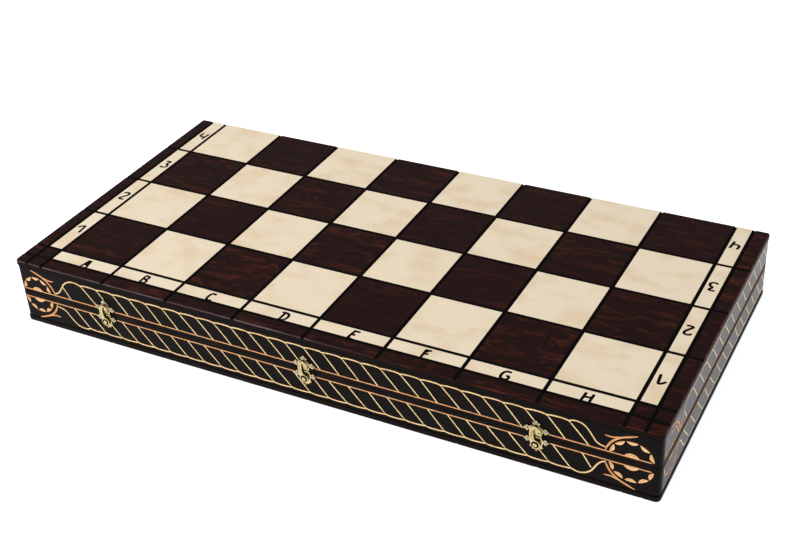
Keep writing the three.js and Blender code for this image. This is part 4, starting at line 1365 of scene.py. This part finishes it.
def man(kind):
    """A standing man about the z axis with his foot on z = 0."""
    radius, length = man_size(kind)
    side = eased(FOOT + STEMS[kind]) * (radius, length)
    body = turned(side, 96 if kind in TOP_NOTCHES else 56)
    if kind in TOP_NOTCHES:  # the rim drops by a square wave or by a cosine of the angle round it
        x, y, z = body.points.T
        r, a = np.hypot(x, y), np.arctan2(y, x)
        wave = np.cos(a * TOP_NOTCHES[kind])
        if kind == "rook":
            z = np.where((z > 0.95 * length) & (r > 0.4 * radius) & (wave < -0.35), z - 0.075 * length, z)
        else:
            rim = np.exp(-(((z / length - 0.9) / 0.012) ** 2)) * (r > 0.4 * radius)
            z = z + rim * (wave - 1) * 0.008 * length
        body = Shell(np.stack([x, y, z], 1), body.faces)
    shells = [body]
    if kind == "knight":
        shells += horse_head(radius, length)
    if kind == "king":
        wide, arm, thick = 0.19 * radius, 0.07 * radius, 0.13 * radius
        shells.append(bar((-arm, -thick, 0.92 * length), (arm, thick, length), 0.4))
        cross = bar((-arm, -thick, -wide), (arm, thick, wide), 0.4)
        shells.append(cross.moved([[0, 0, 1], [0, 1, 0], [-1, 0, 0]], (0, 0, 0.968 * length)))
    return shells


def lay(name, kind, colour, shells):
    """Lays a man where his CAD node lies: on his foot's rim, tipped until his head touches."""
    radius, length = man_size(kind)
    low, high = box(name)
    points = np.concatenate([s.points for s in shells])
    r = np.abs(points[:, 1]) if kind == "knight" else np.hypot(points[:, 0], points[:, 1])
    past = points[:, 2] > 0.5 * length
    tip = np.arctan2(radius - r[past], points[past, 2] - 0.06 * length).min()
    c, s = np.cos(-np.pi / 2 - tip), np.sin(-np.pi / 2 - tip)
    lean = np.array([[1, 0, 0], [0, c, -s], [0, s, c]])
    if colour == "dark":  # laid the other way round
        lean = np.diag([-1.0, -1.0, 1.0]) @ lean
    laid = [shell.moved(lean) for shell in shells]
    points = np.concatenate([s.points for s in laid])
    start, end = points.min(0), points.max(0)
    along = low[1] - start[1] if colour == "pale" else high[1] - end[1]
    shift = ((low[0] + high[0]) / 2, along, low[2] - start[2])
    own = chance.uniform()
    placed = [shell.moved(shift=shift).marked(own=own) for shell in laid]
    turned_name = f"{colour}_turned_{name.removeprefix(colour + '_')}"
    make(turned_name, placed, FINISHES[colour], "lower_tray", [name], MAN_SHARP)


COUNTS = {"pawn": 8, "rook": 2, "knight": 2, "bishop": 2, "queen": 1, "king": 1}
for kind, count in COUNTS.items():
    shells = man(kind)
    for colour in ("pale", "dark"):
        for number in range(1, count + 1):
            lay(f"{colour}_{kind}" + (f"_{number}" if count > 1 else ""), kind, colour, shells)

# ---------------------------------------------------------------- stage, lights and camera


def quad(name, corners, finish):
    """A flat four-cornered sheet, such as the floor, in metres."""
    mesh = bpy.data.meshes.new(name)
    mesh.from_pydata(corners, [], [(0, 1, 2, 3)])
    mesh.materials.append(finish)
    sheet = bpy.data.objects.new(name, mesh)
    bpy.context.scene.collection.objects.link(sheet)
    return sheet


def floor_finish():
    """A white floor that glows a little, so that it stays white under soft light."""
    net = Net("pale_floor", Roughness=0.9, Specular_IOR_Level=0.1, Emission_Strength=0.75)
    return net.looks(Base_Color=(0.8, 0.8, 0.8, 1.0), Emission_Color=(0.96, 0.98, 1.02, 1.0))


FLOOR_HALF = 6.0
FLOOR_Z = cad_bounds[0][2] - 0.0002
corners = [(x * FLOOR_HALF, y * FLOOR_HALF, FLOOR_Z) for x, y in ((-1, -1), (1, -1), (1, 1), (-1, 1))]
quad("studio_floor", corners, floor_finish())


def soft_box(name, place, target, size, power):
    """A square studio lamp at a place, aimed at a target."""
    lamp = bpy.data.lights.new(name, "AREA")
    lamp.shape, lamp.size, lamp.energy = "SQUARE", size, power
    held = bpy.data.objects.new(name, lamp)
    bpy.context.scene.collection.objects.link(held)
    held.location = place
    held.rotation_euler = (Vector(target) - Vector(place)).to_track_quat("-Z", "Y").to_euler()
    return held


soft_box("key", (-1.4, -1.4, 2.1), (-0.1, 0, 0), 1.6, 50)
soft_box("fill", (1.9, 1.2, 0.7), (0.3, 0, 0), 1.0, 5)

world = bpy.data.worlds.new("studio")
world.use_nodes = True
world.node_tree.nodes["Background"].inputs["Color"].default_value = (1, 1, 1, 1)
world.node_tree.nodes["Background"].inputs["Strength"].default_value = 0.5
bpy.context.scene.world = world
bpy.context.scene.view_settings.view_transform = "Standard"

camera = bpy.data.objects.new("camera", bpy.data.cameras.new("camera"))
camera.data.lens = 59.469
camera.data.sensor_width = 36.0
camera.data.clip_end = 30
camera.location = (0.49069, -0.86201, 0.68341)
camera.rotation_euler = [math.radians(turn) for turn in (57.13286, 2.85853, 27.23108)]
bpy.context.scene.collection.objects.link(camera)
bpy.context.scene.camera = camera

bpy.context.view_layer.update()
